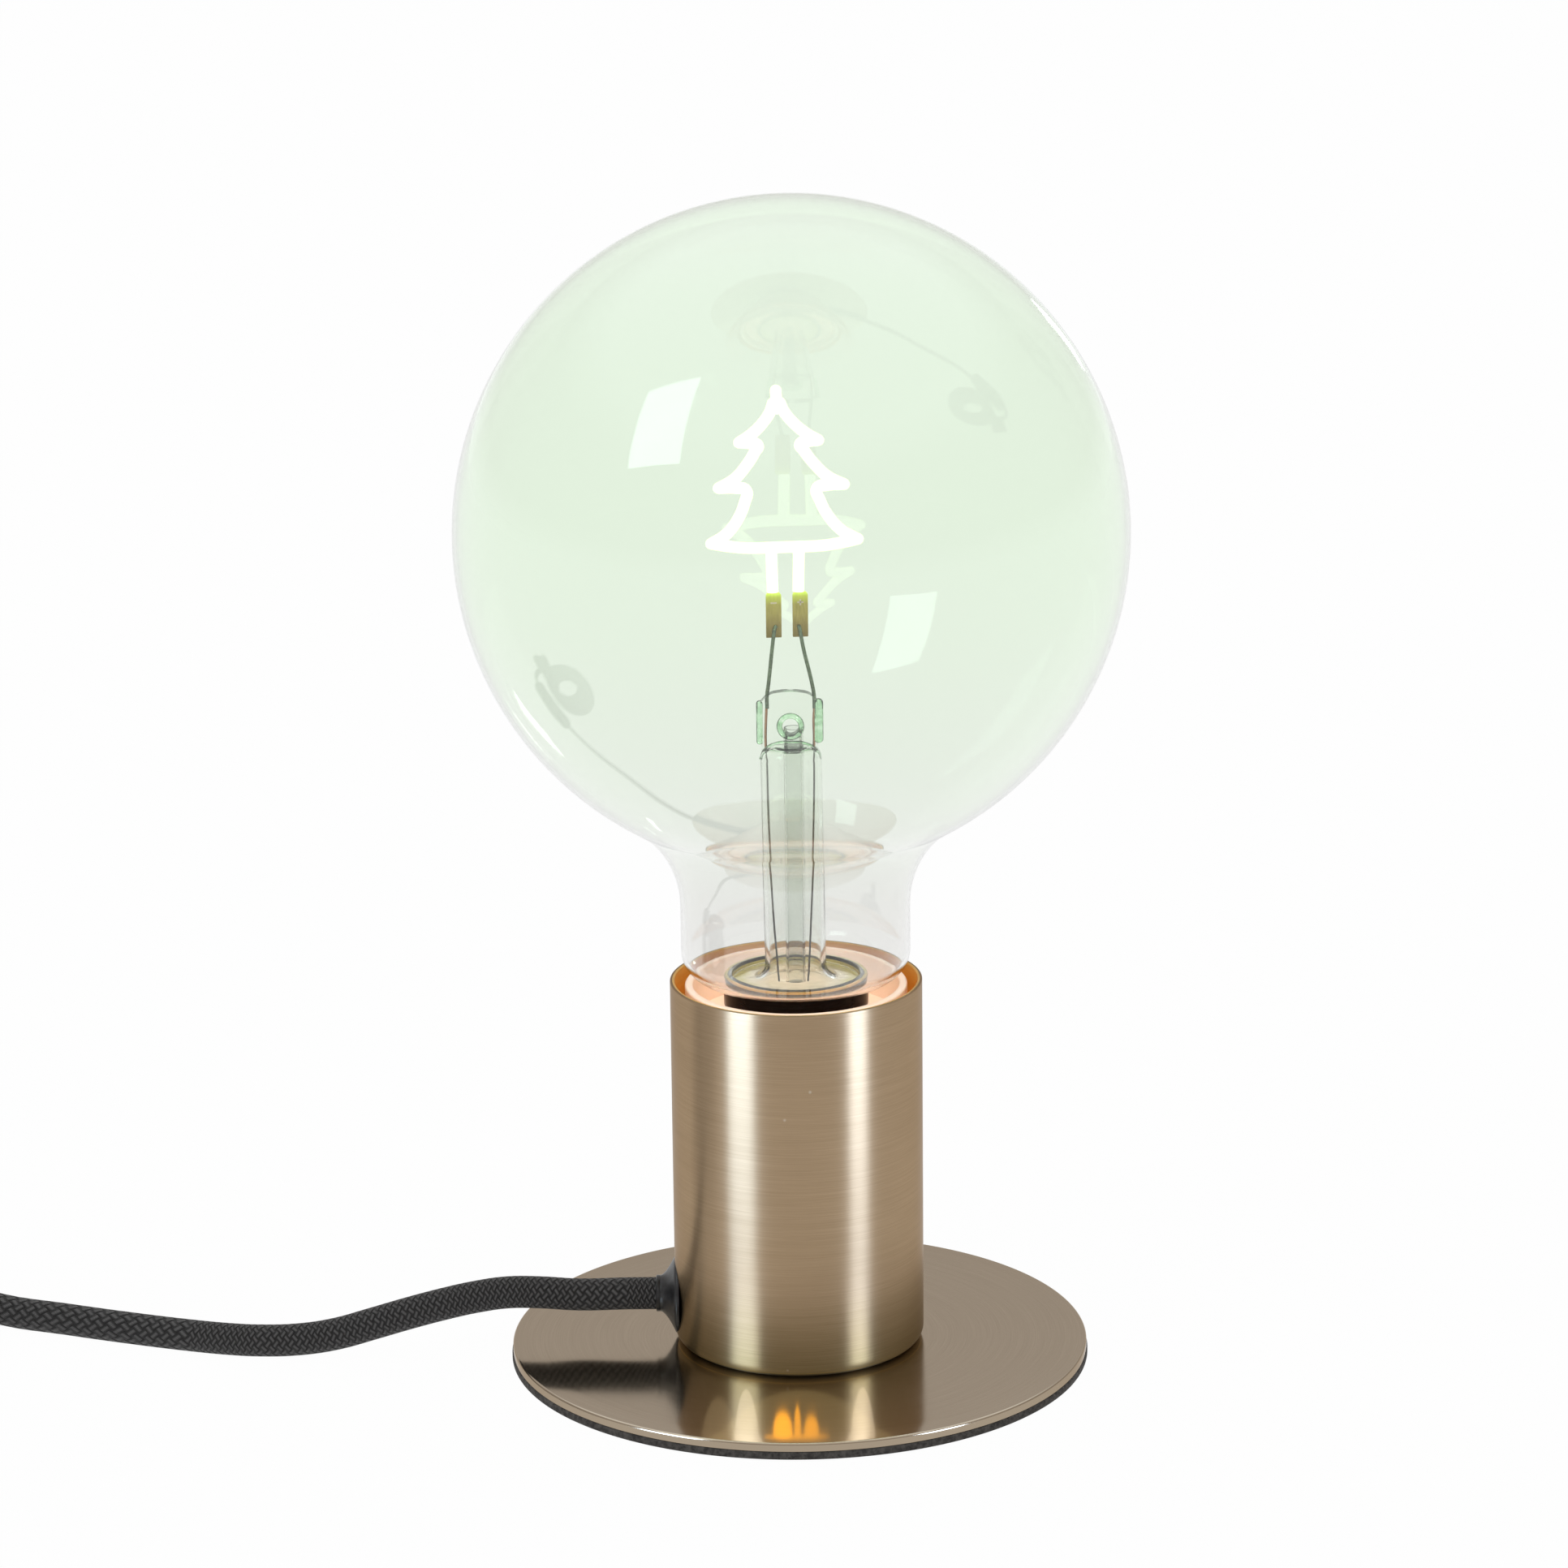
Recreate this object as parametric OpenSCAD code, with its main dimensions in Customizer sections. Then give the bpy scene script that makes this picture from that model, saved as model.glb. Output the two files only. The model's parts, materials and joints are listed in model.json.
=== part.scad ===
// Table lamp: a brushed brass cup on a round base plate holds an E27 lampholder and a large
// clear globe bulb with a tree-shaped LED filament. Millimetres, +Z up, origin at the middle
// of the base's underside. The cord leaves the cup towards -X.

/* [Base] */
// Diameter of the base plate
base_d = 110; // [90:0.2:140]
// Thickness of the base plate
base_t = 1.7; // [1.4:0.1:6]
// Rounding of the base plate's upper edge
base_edge = 0.8; // [0.2:0.1:1.2]
// How far the pad's edge stands out past the plate's
pad_over = 0.2; // [0:0.05:1]
// Thickness of the pad
pad_t = 1.5; // [1.4:0.1:4]

/* [Cup] */
// Outer diameter of the cup
cup_d = 47.6; // [46.8:0.1:56]
// Height of the cup above the base plate
cup_h = 71.6; // [68:0.2:90]
// Wall of the cup
cup_wall = 0.9; // [0.6:0.1:1.2]
// Thickness of the cup's floor
cup_floor = 1; // [0.8:0.1:2]
// Rounding of the cup's lower edge
cup_foot = 2.4; // [1.2:0.1:4]

/* [Nipple and its nut] */
// Outer diameter of the hollow nipple that holds base, cup and lampholder together
nipple_d = 10; // [9:0.1:10.4]
// Bore of the nipple
nipple_bore = 7.6; // [5:0.1:8.2]
// Diameter of the nipple's flange in the pad's hole
flange_d = 19; // [14:0.2:24]
// Thickness of the nipple's flange
flange_t = 1.1; // [0.6:0.1:1.3]
// Width across the nipple nut's flats
nut_af = 14; // [12.6:0.1:16]
// Height of the nipple nut
nut_h = 3; // [2:0.1:4]
// Diameter of the toothed washer over its teeth
washer_d = 17.6; // [15:0.2:20]
// Thickness of the toothed washer
washer_t = 0.6; // [0.4:0.1:1]

/* [Cord entry] */
// Height of the cord's axis above the base plate
entry_h = 8.6; // [8.4:0.1:10]
// Diameter of the grommet's flange
grommet_d = 15.3; // [13:0.1:16]
// Diameter of the grommet's neck in the cup's hole
grommet_neck_d = 9.6; // [8.6:0.1:10.4]
// Diameter of the grommet's collar round the cord
grommet_collar_d = 8.4; // [7.4:0.1:9.4]
// Length of the grommet outside the cup
grommet_len = 3.6; // [3:0.1:6]
// Width across the grommet nut's flats
grommet_nut_af = 12.6; // [11.6:0.1:13.4]
// Height of the grommet nut
grommet_nut_h = 2.6; // [2:0.1:3.2]

/* [Lampholder] */
// Outer diameter of the lampholder's skirt
skirt_d = 42; // [41:0.1:43]
// Wall of the skirt
skirt_wall = 1.6; // [1.2:0.1:2]
// Length of the skirt
skirt_len = 36.3; // [35:0.1:38]
// Depth of the skirt's rim below the cup's rim
rim_drop = 0.7; // [0:0.1:3]
// Depth of the skirt's inner shelf below its rim
shelf_depth = 6.8; // [5:0.1:8]
// Thickness of the inner shelf
shelf_t = 1.4; // [1:0.1:2]
// Wall of the lampholder's dome
dome_wall = 1.8; // [1.2:0.1:2.4]
// Diameter of the dome's threaded boss
boss_d = 15; // [13.6:0.1:17]
// Length of the boss below the dome
boss_len = 5; // [4:0.1:6]
// Thickness of the insert's disc
insert_t = 3.5; // [2.5:0.1:4.2]
// Height of the insert's ring wall
insert_ring_h = 5; // [4.4:0.1:6]
// Diameter of a terminal screw's shank
terminal_screw_d = 3; // [2:0.1:3.4]
// Diameter of a wire core over its insulation
core_d = 2; // [1.6:0.1:2.4]

/* [Bulb] */
// Diameter of the glass globe
globe_d = 125; // [95:1:130]
// Height of the globe's centre above the glass's lower edge
globe_rise = 85.4; // [80:0.2:95]
// Diameter of the glass neck
neck_d = 43.2; // [40:0.2:44]
// Radius of the hollow between globe and neck
shoulder_r = 20; // [14:0.5:26]
// Radius of the neck's lower edge
bowl_r = 5.6; // [4:0.1:6.4]
// Wall of the glass
glass_wall = 0.8; // [0.6:0.05:1.2]
// Gap between the glass's lower edge and the lampholder's rim
bulb_gap = 1.1; // [0.6:0.1:3]
// Diameter of the cap's plain collar
collar_d = 27.3; // [27:0.1:28]
// Height of the cap's plain collar
collar_h = 5; // [4:0.1:6]
// Total height of the cap
cap_h = 27; // [25.6:0.1:28]
// Mean diameter of the cap's thread
thread_d = 25.2; // [24.8:0.05:25.6]
// Depth of the thread's wave to each side
thread_wave = 0.5; // [0.3:0.05:0.6]
// Pitch of the thread
thread_pitch = 3.6286; // [3:0.01:4]
// Gap between the cap's thread and the lampholder's
thread_gap = 0.25; // [0.2:0.01:0.4]
// Wall of the cap
cap_wall = 0.35; // [0.25:0.05:0.5]
// Diameter of the stem's tube
stem_d = 11.6; // [10:0.1:13]
// Height of the flat press above the glass's lower edge
press_rise = 45.5; // [40:0.1:50]
// Height of the flat press
press_h = 9.3; // [7:0.1:12]
// Width of the flat press
press_w = 12; // [11.4:0.1:13]
// Thickness of the flat press
press_t = 3.4; // [2.4:0.1:4]
// Diameter of the exhaust tube
exhaust_d = 3.7; // [3:0.1:4]

/* [Filament] */
// Height of the tree's bottom bar above the stem's press
bar_rise = 28.1; // [24:0.1:32]
// Diameter of the filament's glowing tube
filament_d = 2.2; // [1.6:0.1:2.4]
// Height of the tree from its bottom bar to its tip
tree_h = 29.4; // [26:0.2:34]
// Width of the tree over its lowest branches
tree_w = 27.2; // [24:0.2:32]
// Shift of the tree to the left of the bulb's axis
tree_shift = 1.2; // [0:0.1:3]
// Lean of the tree's tip to the left
tree_lean = 1.4; // [0:0.1:4]
// Turn of the tree about the bulb's axis
tree_turn = 6; // [-20:1:20]
// Distance between the two legs
leg_gap = 5.2; // [4:0.1:6]
// Height of a leg
leg_h = 8.4; // [5:0.1:10]
// Height of a filament's metal tab
tab_h = 8.6; // [7:0.1:10]
// Width of a filament's metal tab
tab_w = 3; // [2.4:0.1:3.6]

/* [Cord] */
// Diameter of the textile cord
cord_d = 6.2; // [5:0.1:6.3]
// Radius of the coil's outer turn
coil_r = 44.6; // [42:0.1:48]
// Turns in each of the coil's two layers
coil_turns = 3; // [2:1:3]
// Distance between neighbouring turns
coil_step = 6.75; // [6.7:0.05:7]
// Width of the tie round the coil
tie_w = 5; // [3:0.5:10]
// Thickness of the tie
tie_t = 0.6; // [0.4:0.1:0.7]

/* [Switch on the cord] */
// Length of the switch's housing
switch_len = 56; // [54:0.5:60]
// Width of the housing
switch_w = 26; // [24:0.5:28]
// Height of the housing
switch_h = 17; // [16:0.2:20]
// Wall of the housing
switch_wall = 1.6; // [1.2:0.1:2]
// Length of the rocker
rocker_l = 18; // [15:0.5:20]
// Width of the rocker
rocker_w = 10; // [8:0.2:12]
// Tilt of the rocker to each side of the middle
rocker_tilt = 10; // [6:1:12]
// Diameter of the rocker's axle
axle_d = 2; // [1.6:0.1:2.4]

/* [Plug] */
// Length of the plug's body
plug_len = 35; // [32:0.5:38]
// Width of the plug's front face
plug_w = 35.3; // [33:0.1:35.3]
// Thickness of the plug's body
plug_t = 13.7; // [12:0.1:14]
// Length of the bend relief behind the body
relief_len = 21; // [20:0.5:26]
// Diameter of a plug pin
pin_d = 4; // [3.9:0.01:4.1]
// Length of a plug pin
pin_len = 19; // [18:0.5:20]
// Distance between the pins
pin_gap = 18.6; // [17:0.1:19.4]
// Length of a pin's insulating sleeve
sleeve_len = 10; // [8:0.5:11]

/* [Hidden] */

// Finishes
brass = [0.70, 0.62, 0.50];
steel = [0.72, 0.72, 0.74];
copper = [0.80, 0.48, 0.32];
black = [0.06, 0.06, 0.06];
porcelain = [0.93, 0.90, 0.85];
clear_glass = [0.85, 0.95, 0.88, 0.35];

// Smoothness
round_fn = 96;       // true circles
thread_fn = 28;      // sides of a thread's rings
thread_slices = 8;   // rings in one turn of a thread
arc_steps = 8;       // steps in a quarter of a rounded profile

// Clearances
slip = 0.05;         // pieces that are pushed or screwed together
free = 0.3;          // pieces that pass each other
touch = 0.02;        // faces that rest on each other round a curve

// Heights in the column of base, cup and lampholder
pad_d = base_d + 2 * pad_over;
plate_top = pad_t + base_t;
cup_top = plate_top + cup_h;
cup_r = cup_d / 2;
floor_top = plate_top + cup_floor;
washer_top = floor_top + washer_t;
entry_z = plate_top + entry_h;
rim_z = cup_top - rim_drop;
skirt_r = skirt_d / 2;
skirt_in = skirt_r - skirt_wall;
skirt_z = rim_z - skirt_len;
shelf_z = rim_z - shelf_depth - shelf_t;

// Bulb and cap
glass_z = rim_z + bulb_gap;
globe_z = glass_z + globe_rise;
globe_r = globe_d / 2;
neck_r = neck_d / 2;
collar_r = collar_d / 2;
cap_tip = glass_z - cap_h;
thread_r = thread_d / 2;
thread_top = glass_z - collar_h;
insulator_h = 2.2;             // black glass under the thread
contact_h = 1.9;               // height of the centre contact's button
insulator_z = cap_tip + contact_h;
thread_z = insulator_z + insulator_h;
plug_neck_r = collar_r - 0.75; // glass neck inside the cap's collar
plug_neck_h = 4.2;             // its length below the glass's lower edge
seal_z = glass_z - plug_neck_h;
press_z = glass_z + press_rise;
press_top = press_z + press_h;

// Inside the lampholder
tongue_gap = 0.2;              // between the tongue and the cap's button
tongue_t = 0.5;
insert_top = cap_tip - 3.2;    // floor under the centre contact
insert_z = insert_top - insert_t;
insert_r = skirt_in - free;
ring_in = 13.2;                // bore of the insert's ring wall
ring_out = 17.4;
sleeve_z = insert_top + insert_ring_h;
sleeve_top = shelf_z - free;
sleeve_r = thread_r + thread_wave + thread_gap + 0.5;
dome_top = insert_z;
dome_r = skirt_in - slip;      // part of the dome inside the skirt
dome_drop = 8;                 // straight part of the dome below the skirt
cone_drop = 6.6;               // cone below the straight part
dome_floor = skirt_z - dome_drop - cone_drop;
boss_z = dome_floor - boss_len;
boss_r = boss_d / 2;
dome_flat_r = 14;
nipple_top = dome_floor + dome_wall + 0.6;
block_w = 6;                   // terminal block
block_h = 6.6;
block_y = 9.4;
port_x = 10;                   // wire ports in the dome's floor
port_y = 4.6;
cord_end_x = 14;               // where the cord's jacket ends inside the cup

// Route of the cord from the grommet to the switch on it, chosen by hand
run_start = [-(cup_r + grommet_len), 0, entry_z];
run_points = [[-33, 0, 11.8], [-42.3, 0.2, 11.6], [-50, 0.3, 12.1], [-56, 0.4, 12.1],
              [-62, 0.3, 11.3], [-68, 0.2, 10], [-75, 0, 8.2], [-82, -0.2, 6.2],
              [-89, -0.4, 4.3], [-96, -0.5, 3.3], [-104, -0.4, 3.1], [-110, 0.6, 3.1],
              [-116.5, 2.4, 3.1], [-128.7, 6.6, 3.1], [-142.5, 12, 3.1], [-156.2, 17.6, 3.2],
              [-164.5, 21, 4.6], [-171, 23.7, 6.4]];
// Place and heading of the switch
switch_at = [-177.5, 26.4, 0];
switch_heading = 157.6;
port_z = 7;                    // height of the cord's holes in the switch
// Middle of the coil, and the height of its lower layer
coil_at = [-228.4, -18];
coil_z = 3.9;
layer_step = 6.7;
// Route from the switch to the coil, chosen by hand
link_points = [[-237.2, 51, 6.9], [-244.8, 52.9, 6.6], [-253.8, 52.2, 6.1], [-262, 48.3, 5.6],
               [-268.4, 41.9, 5.1], [-271.9, 35, 4.7], [-273, 27, 4.3], [-273, 16, 4],
               [-273, 3, 3.9]];
// Route from the coil's end up to the plug on top of it, chosen by hand
tail_points = [[-216.4, -60.8, 10.7], [-209.6, -58.6, 11], [-202, -54.4, 11.6],
               [-194.8, -48, 12.4], [-189, -40, 13.2], [-185, -31, 14], [-183.3, -21.6, 14.9],
               [-184.1, -12, 16.2], [-187.2, -2.8, 17.8], [-192.6, 4.6, 19.4],
               [-199, 9, 20.6], [-205.6, 11.3, 21]];
// Place and heading of the plug
plug_at = [-212, 12, 21];
plug_heading = 174;

// Switch on the cord, in its own frame: +X along the cord, from the lamp's side
seam_z = 8;                    // joint between the housing's halves
axle_x = switch_len / 2;
axle_z = switch_h - 3.6;
seesaw_t = 0.8;
seesaw_l = 15;
seesaw_z = 4.6;                // pivot of the rocking contact
contact_tilt = 7;              // tilt of the rocking contact to each side
rocker_h = 4.2;                // rocker's ends above its axle
window_half = rocker_l / 2 * cos(rocker_tilt) + rocker_h * sin(rocker_tilt) + free;
plunger_d = 2;
plunger_reach = axle_z - seesaw_z - 0.4 - seesaw_t - 0.3;

// Points on an arc about (x, y) from angle a to angle b
function arc(x, y, r, a, b, steps = arc_steps) =
    [for (i = [0:steps]) let (t = a + (b - a) * i / steps) [x + r * cos(t), y + r * sin(t)]];

function unit(v) = v / norm(v);

// Rings of n points round a path; ref is any direction the path never follows
function rings(path, r, n, ref) =
    [for (i = [0:len(path) - 1])
        let (along = unit(path[min(i + 1, len(path) - 1)] - path[max(i - 1, 0)]),
             side = unit(cross(along, ref)),
             up = cross(along, side))
        for (k = [0:n - 1])
            let (a = 360 * (k + 0.5) / n - 90)
            path[i] + r[i] * (cos(a) * side + sin(a) * up)];

// One closed tube through rings of n points
module skin(points, n) {
    m = len(points) / n;
    polyhedron(
        points = points,
        faces = concat(
            [[for (k = [0:n - 1]) k]],
            [[for (k = [n - 1:-1:0]) (m - 1) * n + k]],
            [for (i = [0:m - 2]) for (k = [0:n - 1])
                [i * n + k, (i + 1) * n + k, (i + 1) * n + (k + 1) % n]],
            [for (i = [0:m - 2]) for (k = [0:n - 1])
                [i * n + k, (i + 1) * n + (k + 1) % n, i * n + (k + 1) % n]]));
}

// Tube of even thickness swept along a path
module tube(path, d, n = 8, ref = [0, 0, 1]) {
    skin(rings(path, [for (p = path) d / 2], n, ref), n);
}

// Tube whose ends are rounded off beyond the path's ends
module strand(path, d, n, ref) {
    r = d / 2;
    m = len(path);
    a = unit(path[0] - path[1]);
    b = unit(path[m - 1] - path[m - 2]);
    skin(rings(concat([path[0] + 0.9 * r * a, path[0] + 0.5 * r * a], path,
                      [path[m - 1] + 0.5 * r * b, path[m - 1] + 0.9 * r * b]),
               concat([0.44 * r, 0.87 * r], [for (p = path) r], [0.87 * r, 0.44 * r]), n, ref), n);
}

// Round bar between two heights
module bar(d, z0, z1) {
    translate([0, 0, z0]) cylinder(d = d, h = z1 - z0, $fn = round_fn);
}

// Round ring between two heights
module ring(outer, inner, z0, z1) {
    difference() {
        bar(outer, z0, z1);
        bar(inner, z0 - 1, z1 + 1);
    }
}

// Hexagon bar by its width across flats
module hex(af, h) {
    cylinder(d = af / cos(30), h = h, $fn = 6);
}

// Round thread: rings whose centre runs round the axis once in each pitch
module thread(r, wave, z0, z1) {
    steps = ceil(thread_slices * (z1 - z0) / thread_pitch);
    skin([for (i = [0:steps])
              let (z = z0 + (z1 - z0) * i / steps, a = 360 * z / thread_pitch)
              for (k = [0:thread_fn - 1])
                  let (t = 360 * k / thread_fn)
                  [wave * cos(a) + r * cos(t), wave * sin(a) + r * sin(t), z]],
         thread_fn);
}

module base_plate() {
    r = base_d / 2;
    color(brass) rotate_extrude($fn = round_fn)
        polygon(concat([[nipple_d / 2 + slip, pad_t], [r, pad_t]],
                       arc(r - base_edge, plate_top - base_edge, base_edge, 0, 90),
                       [[nipple_d / 2 + slip, plate_top]]));
}

module base_pad() {
    color(black) ring(pad_d, flange_d + 2 * free, 0, pad_t);
}

module nipple() {
    flange_z = pad_t - flange_t;
    color(steel) difference() {
        union() {
            bar(flange_d, flange_z, pad_t);
            bar(nipple_d, flange_z, nipple_top);
        }
        bar(nipple_bore, flange_z - 1, nipple_top + 1);
    }
}

module lock_washer() {
    teeth = 12;
    root = washer_d - 3;
    color(steel) difference() {
        union() {
            bar(root, floor_top, washer_top);
            for (i = [0:teeth - 1])
                rotate([0, 0, i * 360 / teeth])
                    translate([root / 2 - 0.5, -0.9, floor_top])
                        cube([(washer_d - root) / 2 + 0.5, 1.8, washer_t]);
        }
        bar(nipple_d + 2 * slip, floor_top - 1, washer_top + 1);
    }
}

module nipple_nut() {
    color(steel) difference() {
        translate([0, 0, washer_top]) hex(nut_af, nut_h);
        bar(nipple_d + 2 * slip, washer_top - 1, washer_top + nut_h + 1);
    }
}

// Half section of the cup
function cup_outline() =
    let (inner = cup_r - cup_wall, foot_in = max(cup_foot - cup_wall, 0.4), lip = 0.2)
    concat([[nipple_d / 2 + slip, plate_top]],
           arc(cup_r - cup_foot, plate_top + cup_foot, cup_foot, -90, 0),
           [[cup_r, cup_top - lip], [cup_r - lip, cup_top], [inner + lip, cup_top],
            [inner, cup_top - lip]],
           arc(inner - foot_in, floor_top + foot_in, foot_in, 0, -90),
           [[nipple_d / 2 + slip, floor_top]]);

module cup() {
    color(brass) difference() {
        rotate_extrude($fn = round_fn) polygon(cup_outline());
        translate([-cup_r - 1, 0, entry_z]) rotate([0, 90, 0])
            cylinder(d = grommet_neck_d + 2 * slip, h = 4, $fn = round_fn);
    }
}

nut_face_x = sqrt(pow(cup_r - cup_wall, 2) - pow(grommet_nut_af / 2 / cos(30), 2)) - touch;

module cord_grommet() {
    r = grommet_d / 2;
    rc = grommet_collar_d / 2;
    tip = cup_r + grommet_len;
    inside = nut_face_x - grommet_nut_h - 1;
    color(black) difference() {
        translate([0, 0, entry_z]) rotate([0, -90, 0]) rotate_extrude($fn = round_fn)
            polygon(concat([[cord_d / 2 + slip, inside], [grommet_neck_d / 2, inside],
                            [grommet_neck_d / 2, cup_r - 3], [r, cup_r - 3]],
                           arc(r - 0.6, cup_r + 0.4, 0.6, 0, 60, 3),
                           [[rc + 1.2, tip - 1.5], [rc, tip - 1.1], [rc, tip - 0.3],
                            [rc - 0.3, tip], [cord_d / 2 + slip, tip]]));
        // seat on the cup, with the neck left standing
        difference() {
            bar(cup_d + 2 * touch, entry_z - 10, entry_z + 10);
            translate([-cup_r - 1, 0, entry_z]) rotate([0, 90, 0])
                cylinder(d = grommet_neck_d, h = cup_r, $fn = round_fn);
        }
    }
}

module grommet_nut() {
    color(black) translate([-nut_face_x, 0, entry_z]) rotate([0, 90, 0]) difference() {
        hex(grommet_nut_af, grommet_nut_h);
        translate([0, 0, -1])
            cylinder(d = grommet_neck_d + 2 * slip, h = grommet_nut_h + 2, $fn = round_fn);
    }
}

module cord_inner() {
    color(black) translate([-(cup_r + grommet_len), 0, entry_z]) rotate([0, 90, 0])
        cylinder(d = cord_d, h = cup_r + grommet_len - cord_end_x, $fn = round_fn);
}

// A core runs from the cord's end through its port up into its terminal block
module wire_core(side) {
    z0 = dome_floor;
    bz = insert_z - block_h;
    tube([[-cord_end_x, side * 1.4, entry_z], [-cord_end_x + 0.5, side * 1.4, entry_z],
          [-12.6, side * 1.7, entry_z + 0.8],
          [-11.2, side * 2.6, entry_z + 3.6], [-port_x, side * port_y, z0 - 5],
          [-port_x, side * port_y, z0 + dome_wall + 2], [-8.4, side * 6.4, bz - 3.4],
          [-4.4, side * 8.6, bz - 2.2], [-1, side * block_y, bz - 1.6],
          [0, side * block_y, bz - 0.6], [0, side * block_y, bz + 3.2]],
         core_d, 6, [0.2, side, 0.1]);
}

module live_core() {
    color([0.36, 0.22, 0.12]) wire_core(1);
}

module neutral_core() {
    color([0.16, 0.30, 0.62]) wire_core(-1);
}

module holder_dome() {
    t = dome_wall;
    straight_z = skirt_z - dome_drop;
    bore = nipple_d / 2 + slip;
    color(porcelain) difference() {
        rotate_extrude($fn = round_fn)
            polygon([[bore, boss_z], [boss_r, boss_z], [boss_r, dome_floor],
                     [dome_flat_r, dome_floor], [skirt_r, straight_z], [skirt_r, skirt_z],
                     [dome_r, skirt_z], [dome_r, dome_top], [dome_r - t, dome_top],
                     [dome_r - t, straight_z + t / 2], [dome_flat_r - t / 2, dome_floor + t],
                     [bore, dome_floor + t]]);
        for (side = [-1, 1])
            translate([-port_x, side * port_y, dome_floor - 1])
                cylinder(d = core_d + 2 * free, h = t + 2, $fn = round_fn);
        translate([0, 0, boss_z + boss_len / 2]) rotate([0, 90, 0])
            cylinder(d = terminal_screw_d + 2 * slip, h = boss_d, $fn = round_fn);
    }
}

module holder_lock_screw() {
    slot = 0.7;
    color(steel) translate([0, 0, boss_z + boss_len / 2]) rotate([0, 90, 0]) difference() {
        translate([0, 0, nipple_d / 2 + touch])
            cylinder(d = terminal_screw_d, h = boss_r - nipple_d / 2 + 0.6, $fn = round_fn);
        translate([-terminal_screw_d, -slot / 2, boss_r])
            cube([2 * terminal_screw_d, slot, 2]);
    }
}

stud_d = 3;                    // stud of a terminal block in the insert
side_x = sleeve_r + touch;     // inner face of the side contact
strip_t = 0.5;
strip_w = 5;

module holder_insert() {
    color(porcelain) difference() {
        union() {
            bar(2 * insert_r, insert_z, insert_top);
            bar(2 * ring_out, insert_z, sleeve_z);
        }
        bar(2 * ring_in, insert_top, sleeve_z + 1);
        for (side = [-1, 1])
            translate([0, side * block_y, insert_z - 1])
                cylinder(d = stud_d + 2 * slip, h = insert_t + 2, $fn = round_fn);
        // slot for the side contact, which leaves the bore there
        translate([-strip_w / 2 - free, ring_in - 2, insert_top])
            cube([strip_w + 2 * free, ring_out, insert_ring_h + 1]);
    }
}

module holder_skirt() {
    color(porcelain) rotate_extrude($fn = round_fn)
        polygon(concat([[skirt_in, skirt_z], [skirt_r, skirt_z]],
                       arc(skirt_r - 0.5, rim_z - 0.5, 0.5, 0, 90, 4),
                       arc(skirt_in + 0.5, rim_z - 0.5, 0.5, 90, 180, 4),
                       [[skirt_in, shelf_z + shelf_t], [sleeve_r - 0.6, shelf_z + shelf_t],
                        [sleeve_r - 0.6, shelf_z], [skirt_in, shelf_z]]));
}

module thread_sleeve() {
    color(brass) difference() {
        bar(2 * sleeve_r, sleeve_z, sleeve_top);
        thread(thread_r + thread_gap, thread_wave, sleeve_z - 1, sleeve_top + 1);
    }
}

module terminal_blocks() {
    color(brass) for (side = [-1, 1]) translate([0, side * block_y, insert_z]) difference() {
        union() {
            translate([-block_w / 2, -block_w / 2, -block_h - touch])
                cube([block_w, block_w, block_h]);
            translate([0, 0, -1]) cylinder(d = stud_d, h = insert_t + 1 - touch, $fn = round_fn);
        }
        translate([0, 0, -block_h - 1]) cylinder(d = core_d + 0.3, h = 5.4, $fn = round_fn);
        translate([0, 0, -block_h / 2]) rotate([-90 * side, 0, 0])
            cylinder(d = terminal_screw_d + 2 * slip, h = block_w, $fn = round_fn);
    }
}

module terminal_screws() {
    head_h = 1.6;
    color(steel) for (side = [-1, 1])
        translate([0, side * (block_y + core_d / 2 + 0.3), insert_z - block_h / 2])
            rotate([-90 * side, 0, 0]) {
                shank = block_w / 2 - core_d / 2 - 0.3 + touch;
                cylinder(d = terminal_screw_d, h = shank, $fn = round_fn);
                translate([0, 0, shank]) difference() {
                    cylinder(d = terminal_screw_d + 2.2, h = head_h, $fn = round_fn);
                    translate([-terminal_screw_d, -0.4, head_h - 0.8])
                        cube([2 * terminal_screw_d, 0.8, 1]);
                }
            }
}

// Sprung tongue from the neutral side's stud up to the cap's button
module centre_contact() {
    top = cap_tip - tongue_gap;
    foot = insert_top + touch;
    color(brass) translate([strip_w / 2, 0, 0]) rotate([0, -90, 0]) linear_extrude(strip_w)
        polygon([[foot, -block_y - 2], [foot, -block_y + 4], [top - tongue_t, -3],
                 [top - tongue_t, 3.5], [top, 3.5], [top, -3.3],
                 [foot + tongue_t, -block_y + 3.7], [foot + tongue_t, -block_y - 2]]);
}

// Strip from the live side's stud out to the thread sleeve
module side_contact() {
    foot = insert_top + touch;
    color(brass) translate([strip_w / 2, 0, 0]) rotate([0, -90, 0]) linear_extrude(strip_w)
        polygon([[foot, block_y - 2], [foot, side_x + strip_t], [sleeve_z + 4, side_x + strip_t],
                 [sleeve_z + 4, side_x], [foot + strip_t, side_x], [foot + strip_t, block_y - 2]]);
}

// Half section of the bulb's glass at a depth under its outer face
function glass_outline(depth) =
    let (gr = globe_r - depth,
         sr = shoulder_r + depth,
         cr = neck_r + shoulder_r,
         cz = globe_z - sqrt(pow(globe_r + shoulder_r, 2) - cr * cr),
         lean = atan2(globe_z - cz, -cr),
         br = bowl_r - depth,
         nr = neck_r - depth)
    concat(arc(0, globe_z, gr, 90, lean - 180, 40),
           arc(cr, cz, sr, lean, 180, 10),
           arc(nr - br, glass_z + bowl_r, br, 0, -90, 6),
           [[plug_neck_r - depth, glass_z + depth], [plug_neck_r - depth, seal_z]]);

module bulb_glass() {
    outer = glass_outline(0);
    inner = glass_outline(glass_wall);
    color(clear_glass) rotate_extrude($fn = round_fn)
        polygon(concat(outer, [for (i = [len(inner) - 1:-1:0]) inner[i]]));
}

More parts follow.
